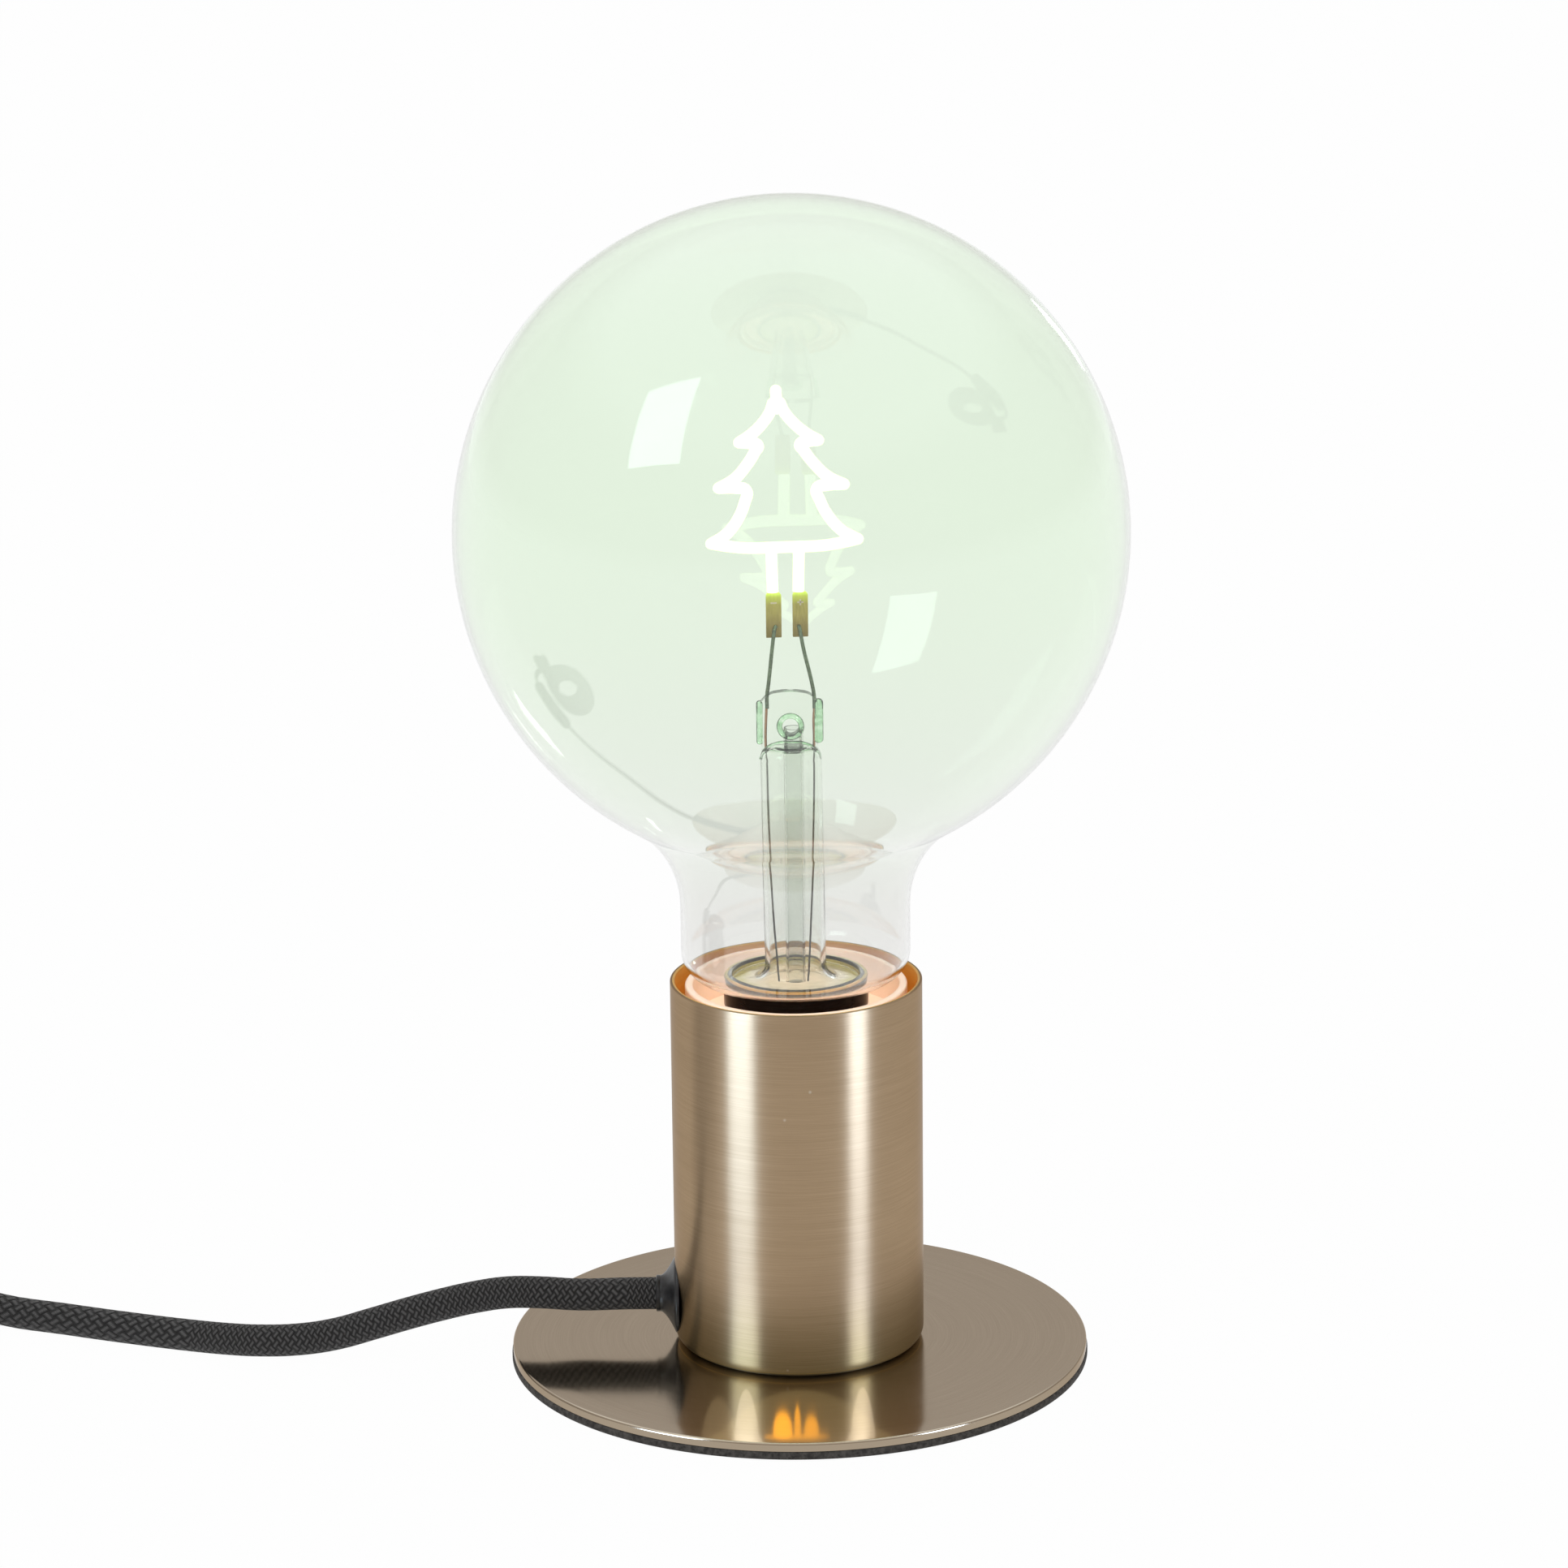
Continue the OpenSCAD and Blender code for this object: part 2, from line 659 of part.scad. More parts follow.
lead_x = 4.45;                 // leads in the press, to each side of the axis
lead_bore = 1;
eye_x = 0;                     // eye in the press, on the axis
eye_d = 3.4;

module stem_glass() {
    r = stem_d / 2;
    wall = 0.9;
    flare_r = plug_neck_r - glass_wall - touch;
    flare_h = 7;
    blend_h = 6;
    color(clear_glass) difference() {
        union() {
            rotate_extrude($fn = round_fn)
                polygon(concat([[flare_r - 1, seal_z], [flare_r, seal_z]],
                               arc(r + flare_h, seal_z + flare_h + 1.4, flare_h, 255, 180, 8),
                               [[r, press_z - blend_h], [r - wall, press_z - blend_h]],
                               arc(r + flare_h, seal_z + flare_h + 1.4, flare_h + wall, 180, 250, 8)));
            hull() {
                translate([0, 0, press_z - blend_h]) cylinder(r = r, h = 0.4, $fn = 32);
                translate([-press_w / 2, -press_t / 2, press_z]) cube([press_w, press_t, 0.4]);
            }
            translate([0, press_t / 2, 0]) rotate([90, 0, 0]) linear_extrude(press_t)
                intersection() {
                    translate([-press_w / 2, press_z])
                        square([press_w, press_h]);
                    translate([0, press_z]) scale([1, 1.45]) circle(r = press_w / 2 + 0.4, $fn = 48);
                }
        }
        // hollow of the tube below the press
        translate([0, 0, press_z - blend_h - 0.01])
            cylinder(r1 = r - wall, r2 = exhaust_d / 2 + slip, h = blend_h - 1.4, $fn = round_fn);
        bar(exhaust_d + 2 * slip, press_z - 3, press_z + 3);
        // eye through the middle of the press
        translate([eye_x, 0, press_z + 3.7 + eye_d / 2]) rotate([90, 0, 0])
            cylinder(d = eye_d, h = press_t + 2, center = true, $fn = round_fn);
        for (side = [-1, 1]) translate([side * lead_x, 0, 0])
            bar(lead_bore, press_z - blend_h, press_top + 1);
    }
}

module exhaust_tube() {
    color(clear_glass) difference() {
        bar(exhaust_d, seal_z + 1, press_z + 2.9);
        bar(exhaust_d - 0.8, seal_z + 2, press_z + 4);
    }
}

board_top = seal_z - 0.6;
lead_d = 0.5;
board_t = 1;
board_face = board_t / 2;

module stem_leads() {
    color([0.18, 0.15, 0.12]) for (side = [-1, 1])
        tube([[side * lead_x, 0, press_z - touch], [side * lead_x, 0, press_z - 8],
              [side * 4.1, 0, press_z - 20], [side * 3.6, 0, press_z - 33],
              [side * 3.1, 0, glass_z + 3], [side * 2.9, 0.5, glass_z - 1],
              [side * 2.9, board_face + lead_d / 2 + touch, board_top - 0.6],
              [side * 2.9, board_face + lead_d / 2 + touch, board_top - 3]],
             lead_d, 6, [0, 1, 0.2]);
}

module seal_leads() {
    color(copper) for (side = [-1, 1]) translate([side * lead_x, 0, 0])
        bar(0.8, press_z, press_top - 0.4);
}

// Tree filament in its own plane: distance from the tree's middle line, height over the bar
bar_z = press_top + bar_rise;
tree_half = tree_w / 2;
tab_top = bar_z - leg_h - 0.05;
tab_t = 0.6;
wire_d = 0.7;
foot_half = leg_gap / 2 - 0.2;
// Shares of the tree's half width and height along each limb, from its branch's tip inwards
leg_limb = [[0.2, 0], [0.45, 0], [0.72, 0.012], [1, 0.037]];
low_limb = [[1, 0.037], [0.79, 0.095], [0.62, 0.187], [0.515, 0.289], [0.48, 0.371],
            [0.62, 0.388], [0.853, 0.391]];
middle_limb = [[0.853, 0.391], [0.632, 0.446], [0.456, 0.531], [0.324, 0.619], [0.283, 0.653],
               [0.38, 0.67], [0.537, 0.677]];
top_limb = [[0.537, 0.677], [0.375, 0.724], [0.199, 0.799], [0.09, 0.87], [0.05, 0.92]];
tip_stub = [[0, 0.885], [0, 0.94], [0, 1]];

// Places a point of the tree in space; side is -1 on the left and 1 on the right
function on_tree(side, u, v) =
    let (x = side * u - tree_shift - tree_lean * max(v, 0) / tree_h)
    [x * cos(tree_turn), x * sin(tree_turn), bar_z + v];

tree_normal = [-sin(tree_turn), cos(tree_turn), 0];

// Limbs that meet have different numbers of sides, so that no two faces are flush
module limb(side, shares, n) {
    strand([for (p = shares) on_tree(side, p[0] * tree_half, p[1] * tree_h)],
           filament_d, n, tree_normal);
}

module filament() {
    color([1, 1, 0.88]) {
        for (side = [-1, 1]) {
            tube([on_tree(side, foot_half, -leg_h), on_tree(side, foot_half + 0.2, 0.3)],
                 filament_d, 10, tree_normal);
            limb(side, leg_limb, 8);
            limb(side, low_limb, 10);
            limb(side, middle_limb, 8);
            limb(side, top_limb, 10);
        }
        limb(1, tip_stub, 8);
        limb(1, [[-0.26, 0], [0.26, 0]], 12);
    }
}

module filament_tabs() {
    color([0.80, 0.66, 0.34]) rotate([0, 0, tree_turn]) for (side = [-1, 1])
        translate([side * foot_half - tree_shift - tab_w / 2, -tab_t / 2, tab_top - tab_h])
            cube([tab_w, tab_t, tab_h]);
}

// The wires stand in the press and end on the tabs' front faces
module support_wires() {
    y = -tab_t / 2 - wire_d / 2 - touch;
    color(steel) for (side = [-1, 1]) {
        x = side * foot_half - tree_shift;
        c = cos(tree_turn);
        s = sin(tree_turn);
        tube([[side * lead_x, 0, press_top - 0.35], [side * lead_x, 0, press_top + 1.6],
              [(side * lead_x + x) / 2, y / 2, (press_top + tab_top - tab_h) / 2],
              [x * c - y * s, x * s + y * c, tab_top - tab_h - 0.4],
              [x * c - y * s, x * s + y * c, tab_top - tab_h + 2.2]],
             wire_d, 6, [0.1, 1, 0]);
    }
}

module cap_shell() {
    color(steel) difference() {
        union() {
            bar(collar_d, thread_top, glass_z - 0.5);
            thread(thread_r, thread_wave, thread_z, thread_top + 0.1);
            translate([0, 0, thread_z - 1.4])
                cylinder(r1 = thread_r - 2.6, r2 = thread_r - thread_wave, h = 1.45, $fn = thread_fn);
        }
        bar(2 * (collar_r - cap_wall), thread_top + cap_wall, glass_z);
        bar(2 * (thread_r - thread_wave - cap_wall), thread_z, thread_top + 1);
        bar(2 * (thread_r - 3.2), thread_z - 2, thread_z + 1);
    }
}

module cap_insulator() {
    r = thread_r - 3.2 - slip;
    color(black) rotate_extrude($fn = round_fn)
        polygon([[1.2, insulator_z], [5.2, insulator_z], [r - 0.4, thread_z - 0.7],
                 [r, thread_z - 0.6], [r, thread_z + 0.8], [1.2, thread_z + 0.8]]);
}

module cap_contact() {
    color(steel) rotate_extrude($fn = round_fn)
        polygon(concat([[0, cap_tip]], arc(3.4, cap_tip + 1.4, 1.4, -90, 0, 5),
                       [[4.8, insulator_z - touch], [0, insulator_z - touch]]));
}

module cap_cement() {
    inner = plug_neck_r + touch;
    color([0.80, 0.66, 0.20]) rotate_extrude($fn = round_fn)
        polygon([[inner, seal_z + 0.6], [collar_r - cap_wall - touch, seal_z + 0.6],
                 [collar_r - cap_wall - touch, glass_z - 0.5 + touch],
                 [collar_r - 0.05, glass_z - 0.5 + touch], [collar_r - 0.15, glass_z - touch],
                 [inner, glass_z - touch]]);
}

board_w = 14;
board_h = 13;

module driver_board() {
    color([0.16, 0.36, 0.20])
        translate([-board_w / 2, -board_face, board_top - board_h]) cube([board_w, board_t, board_h]);
}

// Smoothing capacitor, rectifier, choke and regulator, all soldered to the board
module driver_parts() {
    back = -board_face - touch;
    front = board_face + touch;
    color([0.12, 0.14, 0.18]) {
        translate([0, back - 3.2, board_top - 11]) cylinder(d = 6.3, h = 9, $fn = round_fn);
        translate([-6, front, board_top - 9]) cube([5, 2.4, 4.4]);
        translate([1.4, front, board_top - 8.6]) cube([4, 1.6, 3.4]);
        translate([3, front + 1.9, board_top - 12.4]) cylinder(d = 3.6, h = 3.4, $fn = round_fn);
    }
}

// One wire to the centre contact through the insulator, one to the cap's wall
module cap_leads() {
    bottom = board_top - board_h;
    wall_x = thread_r - thread_wave - cap_wall - lead_d / 2 - touch;
    color(copper) {
        bar(lead_d, insulator_z, bottom - touch);
        tube([[board_w / 2 - 1, board_face + lead_d / 2 + touch, board_top - 10],
              [board_w / 2 + 0.6, board_face + 1, board_top - 10.4],
              [wall_x - 1.4, 0.6, board_top - 9], [wall_x, 0, board_top - 7],
              [wall_x, 0, board_top - 5]], lead_d, 6, [0, 1, 0.1]);
    }
}

switch_dir = [cos(switch_heading), sin(switch_heading), 0];
switch_in = switch_at + [0, 0, port_z];
switch_out = switch_in + switch_len * switch_dir;

module cord_run() {
    color(black) tube(concat([run_start], run_points, [switch_in]), cord_d);
}

module at_switch() {
    translate(switch_at) rotate([0, 0, switch_heading]) children();
}

module at_rocker() {
    at_switch() translate([axle_x, 0, axle_z]) rotate([0, -rocker_tilt, 0]) children();
}

// Outline of the housing: straight sides and rounded ends
module switch_outline(inset) {
    end_r = 9;
    r = end_r - inset;
    difference() {
        union() {
            translate([end_r, inset - switch_w / 2])
                square([switch_len - 2 * end_r, switch_w - 2 * inset]);
            translate([inset, -switch_w / 2 + end_r])
                square([switch_len - 2 * inset, switch_w - 2 * end_r]);
            for (x = [end_r, switch_len - end_r], y = [end_r - switch_w / 2, switch_w / 2 - end_r])
                translate([x, y]) circle(r = r, $fn = round_fn);
        }
    }
}

// Holes for the cord at both ends, half in each shell
module cord_holes() {
    translate([-1, 0, port_z]) rotate([0, 90, 0])
        cylinder(d = cord_d + 2 * slip, h = switch_len + 2, $fn = round_fn);
}

screw_x = 9;                   // housing screws, from each end
screw_y = 7.4;

module switch_base() {
    color(black) at_switch() difference() {
        union() {
            difference() {
                linear_extrude(seam_z) switch_outline(0);
                translate([0, 0, switch_wall]) linear_extrude(seam_z) switch_outline(switch_wall);
            }
            for (x = [screw_x, switch_len - screw_x], y = [-screw_y, screw_y])
                translate([x, y, 0]) cylinder(d = 5, h = seam_z, $fn = round_fn);
            // cradle of the rocking contact
            translate([axle_x - 1.5, -4.4, 0]) cube([3, 1.2, seesaw_z + 1.4]);
            translate([axle_x - 1.5, 3.2, 0]) cube([3, 1.2, seesaw_z + 1.4]);
        }
        cord_holes();
        for (x = [screw_x, switch_len - screw_x], y = [-screw_y, screw_y]) translate([x, y, -1]) {
            cylinder(d = 2.2 + 2 * slip, h = seam_z + 2, $fn = round_fn);
            cylinder(d = 4.2, h = 3, $fn = round_fn);
        }
        translate([axle_x, 5, seesaw_z]) rotate([90, 0, 0])
            cylinder(d = 1.2 + 2 * slip, h = 10, $fn = round_fn);
    }
}

module switch_cover() {
    crown = 2.4;               // height of the sloping upper edge
    color(black) at_switch() difference() {
        union() {
            difference() {
                union() {
                    translate([0, 0, seam_z])
                        linear_extrude(switch_h - seam_z - crown) switch_outline(0);
                    for (i = [0:2]) translate([0, 0, switch_h - crown + i * crown / 3])
                        linear_extrude(crown / 3) switch_outline([0.25, 0.8, 1.8][i]);
                }
                translate([0, 0, seam_z - 1])
                    linear_extrude(switch_h - seam_z + 1 - switch_wall - crown / 2)
                        switch_outline(switch_wall);
            }
            for (x = [screw_x, switch_len - screw_x], y = [-screw_y, screw_y])
                translate([x, y, seam_z]) cylinder(d = 5, h = switch_h - seam_z - crown, $fn = round_fn);
            // ears that carry the axle
            for (y = [-rocker_w / 2 - 0.6 - 2, rocker_w / 2 + 0.6])
                translate([axle_x - 2, y, axle_z - 2]) cube([4, 2, switch_h - 1.5 - axle_z + 2]);
        }
        cord_holes();
        translate([axle_x - window_half, -rocker_w / 2 - free, seam_z + 2])
            cube([2 * window_half, rocker_w + 2 * free, switch_h]);
        for (x = [screw_x, switch_len - screw_x], y = [-screw_y, screw_y])
            translate([x, y, seam_z - 1]) cylinder(d = 2.2 + 2 * slip, h = 5, $fn = round_fn);
        translate([axle_x, rocker_w, axle_z]) rotate([90, 0, 0])
            cylinder(d = axle_d + 2 * slip, h = 2 * rocker_w, $fn = round_fn);
    }
}

// Rocker tilted to its off side, with a bar and a ring as marks
module switch_rocker() {
    dish_r = 34;
    mark_z = 2.7;
    color([0.10, 0.10, 0.10]) at_rocker() difference() {
        union() {
            translate([-rocker_l / 2, -rocker_w / 2, -0.4]) cube([rocker_l, rocker_w, rocker_h + 0.4]);
            translate([0, rocker_w / 2, 0]) rotate([90, 0, 0])
                cylinder(r = 2.4, h = rocker_w, $fn = round_fn);
            translate([0, 0, -4.4]) cylinder(d = 4, h = 4.4, $fn = round_fn);
        }
        translate([0, rocker_w, 2.6 + dish_r]) rotate([90, 0, 0])
            cylinder(r = dish_r, h = 2 * rocker_w, $fn = 160);
        translate([0, rocker_w, 0]) rotate([90, 0, 0])
            cylinder(d = axle_d + 2 * slip, h = 2 * rocker_w, $fn = round_fn);
        translate([0, 0, -5]) cylinder(d = plunger_d + 2 * slip, h = 3.6, $fn = round_fn);
        translate([-rocker_l / 2 + 3.4, -1.6, mark_z]) cube([0.6, 3.2, 3]);
        translate([rocker_l / 2 - 3.4, 0, 0]) ring(3.2, 2, mark_z, rocker_h + 1);
    }
}

// Sprung pin in the rocker that tips the rocking contact over
module switch_plunger() {
    color(steel) at_rocker() bar(plunger_d, -plunger_reach, -1.6);
}

module switch_axle() {
    color(steel) at_switch() translate([axle_x, rocker_w / 2 + 2.4, axle_z]) rotate([90, 0, 0])
        cylinder(d = axle_d, h = rocker_w + 4.8, $fn = round_fn);
}

// Rocking contact on its own pivot, tilted to the open side
module switch_seesaw() {
    color(brass) at_switch() translate([axle_x, 0, seesaw_z]) {
        rotate([0, contact_tilt, 0]) {
            translate([-seesaw_l / 2, -2, 0.4]) cube([seesaw_l, 4, seesaw_t]);
            translate([0, 4.1, 0]) rotate([90, 0, 0]) cylinder(d = 1.2, h = 8.2, $fn = round_fn);
        }
    }
}

// Fixed contacts that take the cord's cores
module switch_posts() {
    gap = 0.3;
    reach = seesaw_l / 2 - 1;
    low = seesaw_z + 0.4 * cos(contact_tilt) - reach * sin(contact_tilt) - gap;
    color(brass) at_switch() for (end = [-1, 1])
        translate([axle_x + end * (reach + 1.2), 0, 0]) {
            translate([-1.6, -2.4, switch_wall]) cube([3.2, 4.8, low - switch_wall]);
            translate([end * 3.4 - 2, -2.4, switch_wall]) cube([4, 4.8, 1.2]);
        }
}

module switch_screws() {
    color(steel) at_switch() for (x = [screw_x, switch_len - screw_x], y = [-screw_y, screw_y])
        translate([x, y, 0.4]) {
            difference() {
                cylinder(d = 3.9, h = 1.5, $fn = round_fn);
                translate([-0.3, -3, -1]) cube([0.6, 6, 1.6]);
            }
            cylinder(d = 2.2, h = seam_z + 2.6, $fn = round_fn);
        }
}

// The coil winds in on its lower layer, climbs in the half turn where the spiral
// reverses, and winds out on its upper layer to a quarter turn before its start
turn_steps = 24;
coil_total = 2 * coil_turns + 0.25;
function coil_point(t) =
    let (mid = coil_turns + 0.25,
         k = t < mid ? t : 2 * mid - t,
         r = coil_r - coil_step * k,
         u = min(max((t - coil_turns) / 0.5, 0), 1),
         a = 180 + 360 * t)
    [coil_at[0] + r * cos(a), coil_at[1] + r * sin(a),
     coil_z + layer_step * u * u * (3 - 2 * u)];
coil_path = [for (i = [0:coil_total * turn_steps]) coil_point(i / turn_steps)];
coil_start = coil_path[0] + [0, cord_d, 0];
coil_end = coil_path[len(coil_path) - 1] + [cord_d, 0, 0];
coil_gap = min([for (i = [0:len(coil_path) - 1])
                    for (j = [i + turn_steps / 2:len(coil_path) - 1])
                        norm(coil_path[i] - coil_path[j])]) - cord_d;

module cord_link() {
    color(black) tube(concat([switch_out], link_points, [coil_start]), cord_d);
}

module cord_coil() {
    echo(str("least gap of the coil to itself: ", coil_gap, " mm"));
    color(black) tube(concat([coil_start], coil_path, [coil_end]), cord_d, 6);
}

module cord_tail() {
    color(black) tube(concat([coil_end], tail_points, [plug_at]), cord_d);
}

// The tie goes through the coil's middle where the coil has run this part of a turn
tie_turn = 0.15;

module cord_tie() {
    snug = cord_d / 2 + 0.15;
    inner = coil_r - coil_step * (coil_turns + tie_turn) - snug;
    outer = coil_r - coil_step * tie_turn + snug;
    bottom = coil_z - snug;
    top = coil_z + layer_step + snug;
    color([0.12, 0.12, 0.12]) translate([coil_at[0], coil_at[1], 0])
        rotate([0, 0, 180 + 360 * tie_turn])
            translate([0, tie_w / 2, 0]) rotate([90, 0, 0]) linear_extrude(tie_w) difference() {
                translate([inner - tie_t, bottom - tie_t])
                    square([outer - inner + 2 * tie_t, top - bottom + 2 * tie_t]);
                translate([inner, bottom]) square([outer - inner, top - bottom]);
            }
}

module at_plug() {
    translate(plug_at) rotate([0, 0, plug_heading]) children();
}

// Seen from above: narrow at the cord, with a waist, and full width at the pins
function plug_side() =
    let (x0 = relief_len, x1 = relief_len + plug_len, w = plug_w / 2)
    concat([[x0, 6.4], [x0 + 3, 8.2], [x0 + 12, 10], [x0 + 20, 13.6], [x0 + 26, 16.6]],
           arc(x1 - 3, w - 3, 3, 90, 0, 4));

// Diameter of the bend relief at a distance from its tip
function relief_d(x) = cord_d + 2 + 2.8 * x / relief_len;

module plug_body() {
    side = plug_side();
    edge = 1.6;
    grooves = 6;
    color(black) at_plug() difference() {
        union() {
            for (step = [[0, 0], [0.5, 0.5], [1.6, 1.1]])
                translate([0, 0, -plug_t / 2 + edge - step[0]])
                    linear_extrude(plug_t - 2 * edge + 2 * step[0])
                        polygon(concat([for (p = side) [min(max(p[0], relief_len + step[1] * 0.4),
                                        relief_len + plug_len - step[1] * 0.4), p[1] - step[1]]],
                                       [for (i = [len(side) - 1:-1:0])
                                        [min(max(side[i][0], relief_len + step[1] * 0.4),
                                        relief_len + plug_len - step[1] * 0.4),
                                        step[1] - side[i][1]]]));
            rotate([0, 90, 0]) cylinder(d1 = relief_d(0), d2 = relief_d(relief_len + 0.5), h = relief_len + 0.5, $fn = round_fn);
        }
        // grooves of the bend relief
        for (i = [0:grooves - 1]) let (x = 2 + i * 3) translate([x, 0, 0]) rotate([0, 90, 0])
            ring(16, relief_d(x) - 0.9, 0, 1.2);
        for (y = [-pin_gap / 2, pin_gap / 2])
            translate([relief_len + plug_len - 6, y, 0]) rotate([0, 90, 0])
                cylinder(d = pin_d + 2 * slip, h = 8, $fn = round_fn);
    }
}

sleeve_d = pin_d - 0.5;        // a sleeve is a little slimmer than the bare pin
core_pin_d = pin_d - 1.2;      // pin inside its sleeve
front_x = relief_len + plug_len;

module plug_pins() {
    color(steel) at_plug() for (y = [-pin_gap / 2, pin_gap / 2]) translate([0, y, 0])
        rotate([0, 90, 0]) {
            bar(pin_d, front_x - 5.8, front_x - 0.2);
            bar(core_pin_d, front_x - 1, front_x + sleeve_len + 1);
            bar(pin_d, front_x + sleeve_len + touch, front_x + pin_len - 0.8);
            translate([0, 0, front_x + pin_len - 0.8])
                cylinder(d1 = pin_d, d2 = pin_d - 1.4, h = 0.8, $fn = round_fn);
        }
}

module pin_sleeves() {
    color(black) at_plug() for (y = [-pin_gap / 2, pin_gap / 2]) translate([0, y, 0])
        rotate([0, 90, 0])
            ring(sleeve_d, core_pin_d + 2 * touch, front_x - 0.2 + touch, front_x + sleeve_len);
}

base_plate();
base_pad();
nipple();
lock_washer();
nipple_nut();
cup();
cord_grommet();
grommet_nut();
cord_inner();
live_core();
neutral_core();
holder_dome();
holder_lock_screw();
holder_insert();
holder_skirt();
thread_sleeve();
terminal_blocks();
terminal_screws();
centre_contact();
side_contact();
bulb_glass();
stem_glass();
exhaust_tube();
stem_leads();
seal_leads();
support_wires();
filament_tabs();
filament();
cap_shell();
cap_insulator();
cap_contact();
cap_cement();
driver_board();
driver_parts();
cap_leads();
cord_run();
switch_base();
switch_cover();
switch_rocker();
switch_plunger();
switch_axle();
switch_seesaw();
switch_posts();
switch_screws();
cord_link();
cord_coil();
cord_tail();
cord_tie();
plug_body();
plug_pins();
pin_sleeves();
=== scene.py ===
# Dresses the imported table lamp: globe bulb with a lit tree, brass cup and plate, textile cord.
import json
import math

import bmesh
import bpy
from mathutils import Matrix, Vector
from mathutils.geometry import convex_hull_2d


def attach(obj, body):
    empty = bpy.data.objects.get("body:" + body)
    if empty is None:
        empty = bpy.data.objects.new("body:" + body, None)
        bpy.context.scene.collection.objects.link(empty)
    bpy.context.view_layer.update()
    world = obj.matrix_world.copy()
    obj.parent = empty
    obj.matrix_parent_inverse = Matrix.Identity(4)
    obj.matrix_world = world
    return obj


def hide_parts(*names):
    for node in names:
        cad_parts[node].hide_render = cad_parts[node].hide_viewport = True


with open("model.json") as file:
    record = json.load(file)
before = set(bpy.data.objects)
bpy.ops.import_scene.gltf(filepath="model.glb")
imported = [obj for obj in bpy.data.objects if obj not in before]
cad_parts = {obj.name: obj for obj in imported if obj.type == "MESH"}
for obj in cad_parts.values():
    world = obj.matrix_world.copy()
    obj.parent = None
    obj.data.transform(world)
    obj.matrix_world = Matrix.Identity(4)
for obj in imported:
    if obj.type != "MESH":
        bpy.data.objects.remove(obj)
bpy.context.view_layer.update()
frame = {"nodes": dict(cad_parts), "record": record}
nodes = frame["nodes"]
mm = 0.001  # sizes are in millimetres unless a note says otherwise; materials measure in metres
print("frame loaded:", len(nodes), "nodes")


def addObject(name, data):
    item = bpy.data.objects.new(name, data)
    bpy.context.scene.collection.objects.link(item)
    return item


# Camera, placed as the photographer stood

viewpoint = {
    "place": (0.0, -958.93, 376.41),
    "down": 0.26832,  # radians below level
    "right": -0.00194,
    "roll": -0.01104,
    "lens": 122.3,
    "sensor": 36,
    "farthest": 30,  # metres
}


def addCamera():
    v = viewpoint
    data = bpy.data.cameras.new("photoCamera")
    data.lens = v["lens"]
    data.sensor_width = v["sensor"]
    data.clip_end = v["farthest"]
    camera = addObject("photoCamera", data)
    camera.matrix_world = (
        Matrix.Translation(Vector(v["place"]) * mm)
        @ Matrix.Rotation(-v["right"], 4, "Z")
        @ Matrix.Rotation(math.pi / 2 - v["down"], 4, "X")
        @ Matrix.Rotation(v["roll"], 4, "Z")
    )
    bpy.context.scene.camera = camera


addCamera()
bpy.context.scene.view_settings.view_transform = "Standard"


# Node helpers

noiseRange = (0.3, 0.7)  # noise hardly leaves this range, so two tones are spread over it


def withAlpha(colour):
    return (*colour, 1)


def addNode(tree, kind, **settings):
    node = tree.nodes.new(kind)
    for key, value in settings.items():
        setattr(node, key, value)
    return node


# The socket is a name or an index; the source is an output or a plain value
def feed(tree, source, node, socket):
    if isinstance(source, bpy.types.NodeSocket):
        tree.links.new(source, node.inputs[socket])
    else:
        node.inputs[socket].default_value = source


def mathNode(tree, operation, *values, clamp=False):
    node = addNode(tree, "ShaderNodeMath", operation=operation, use_clamp=clamp)
    for i, value in enumerate(values):
        feed(tree, value, node, i)
    return node.outputs[0]


def vectorNode(tree, operation, vector, output):
    node = addNode(tree, "ShaderNodeVectorMath", operation=operation)
    feed(tree, vector, node, 0)
    return node.outputs[output]


def splitVector(tree, vector):
    node = addNode(tree, "ShaderNodeSeparateXYZ")
    feed(tree, vector, node, 0)
    return node.outputs


def joinVector(tree, *parts):
    node = addNode(tree, "ShaderNodeCombineXYZ")
    for i, part in enumerate(parts):
        feed(tree, part, node, i)
    return node.outputs[0]


def mapRange(tree, value, fromLow, fromHigh, toLow=0.0, toHigh=1.0):
    node = addNode(tree, "ShaderNodeMapRange")
    for i, source in enumerate((value, fromLow, fromHigh, toLow, toHigh)):
        feed(tree, source, node, i)
    return node.outputs[0]


def mixColours(tree, factor, a, b, blend="MIX"):
    node = addNode(tree, "ShaderNodeMix", data_type="RGBA", blend_type=blend)
    for source, socket in ((factor, 0), (a, 6), (b, 7)):
        feed(tree, source, node, socket)
    return node.outputs[2]


def rampNode(tree, factor, stops):
    node = addNode(tree, "ShaderNodeValToRGB")
    elements = node.color_ramp.elements
    while len(elements) < len(stops):
        elements.new(0.5)
    for element, (place, colour) in zip(elements, stops):
        element.position = place
        element.color = withAlpha(colour)
    feed(tree, factor, node, 0)
    return node.outputs[0]


def twoTones(tree, noise, dark, light):
    return rampNode(tree, noise, list(zip(noiseRange, (dark, light))))


def noiseNode(tree, vector, scale, detail=3.0, roughness=0.5, distortion=0.0):
    node = addNode(tree, "ShaderNodeTexNoise")
    feed(tree, vector, node, "Vector")
    feed(tree, scale, node, "Scale")
    feed(tree, detail, node, "Detail")
    feed(tree, roughness, node, "Roughness")
    feed(tree, distortion, node, "Distortion")
    return node.outputs[0]


def cellNode(tree, vector, scale, **settings):
    node = addNode(tree, "ShaderNodeTexVoronoi", **settings)
    feed(tree, vector, node, "Vector")
    feed(tree, scale, node, "Scale")
    return node.outputs


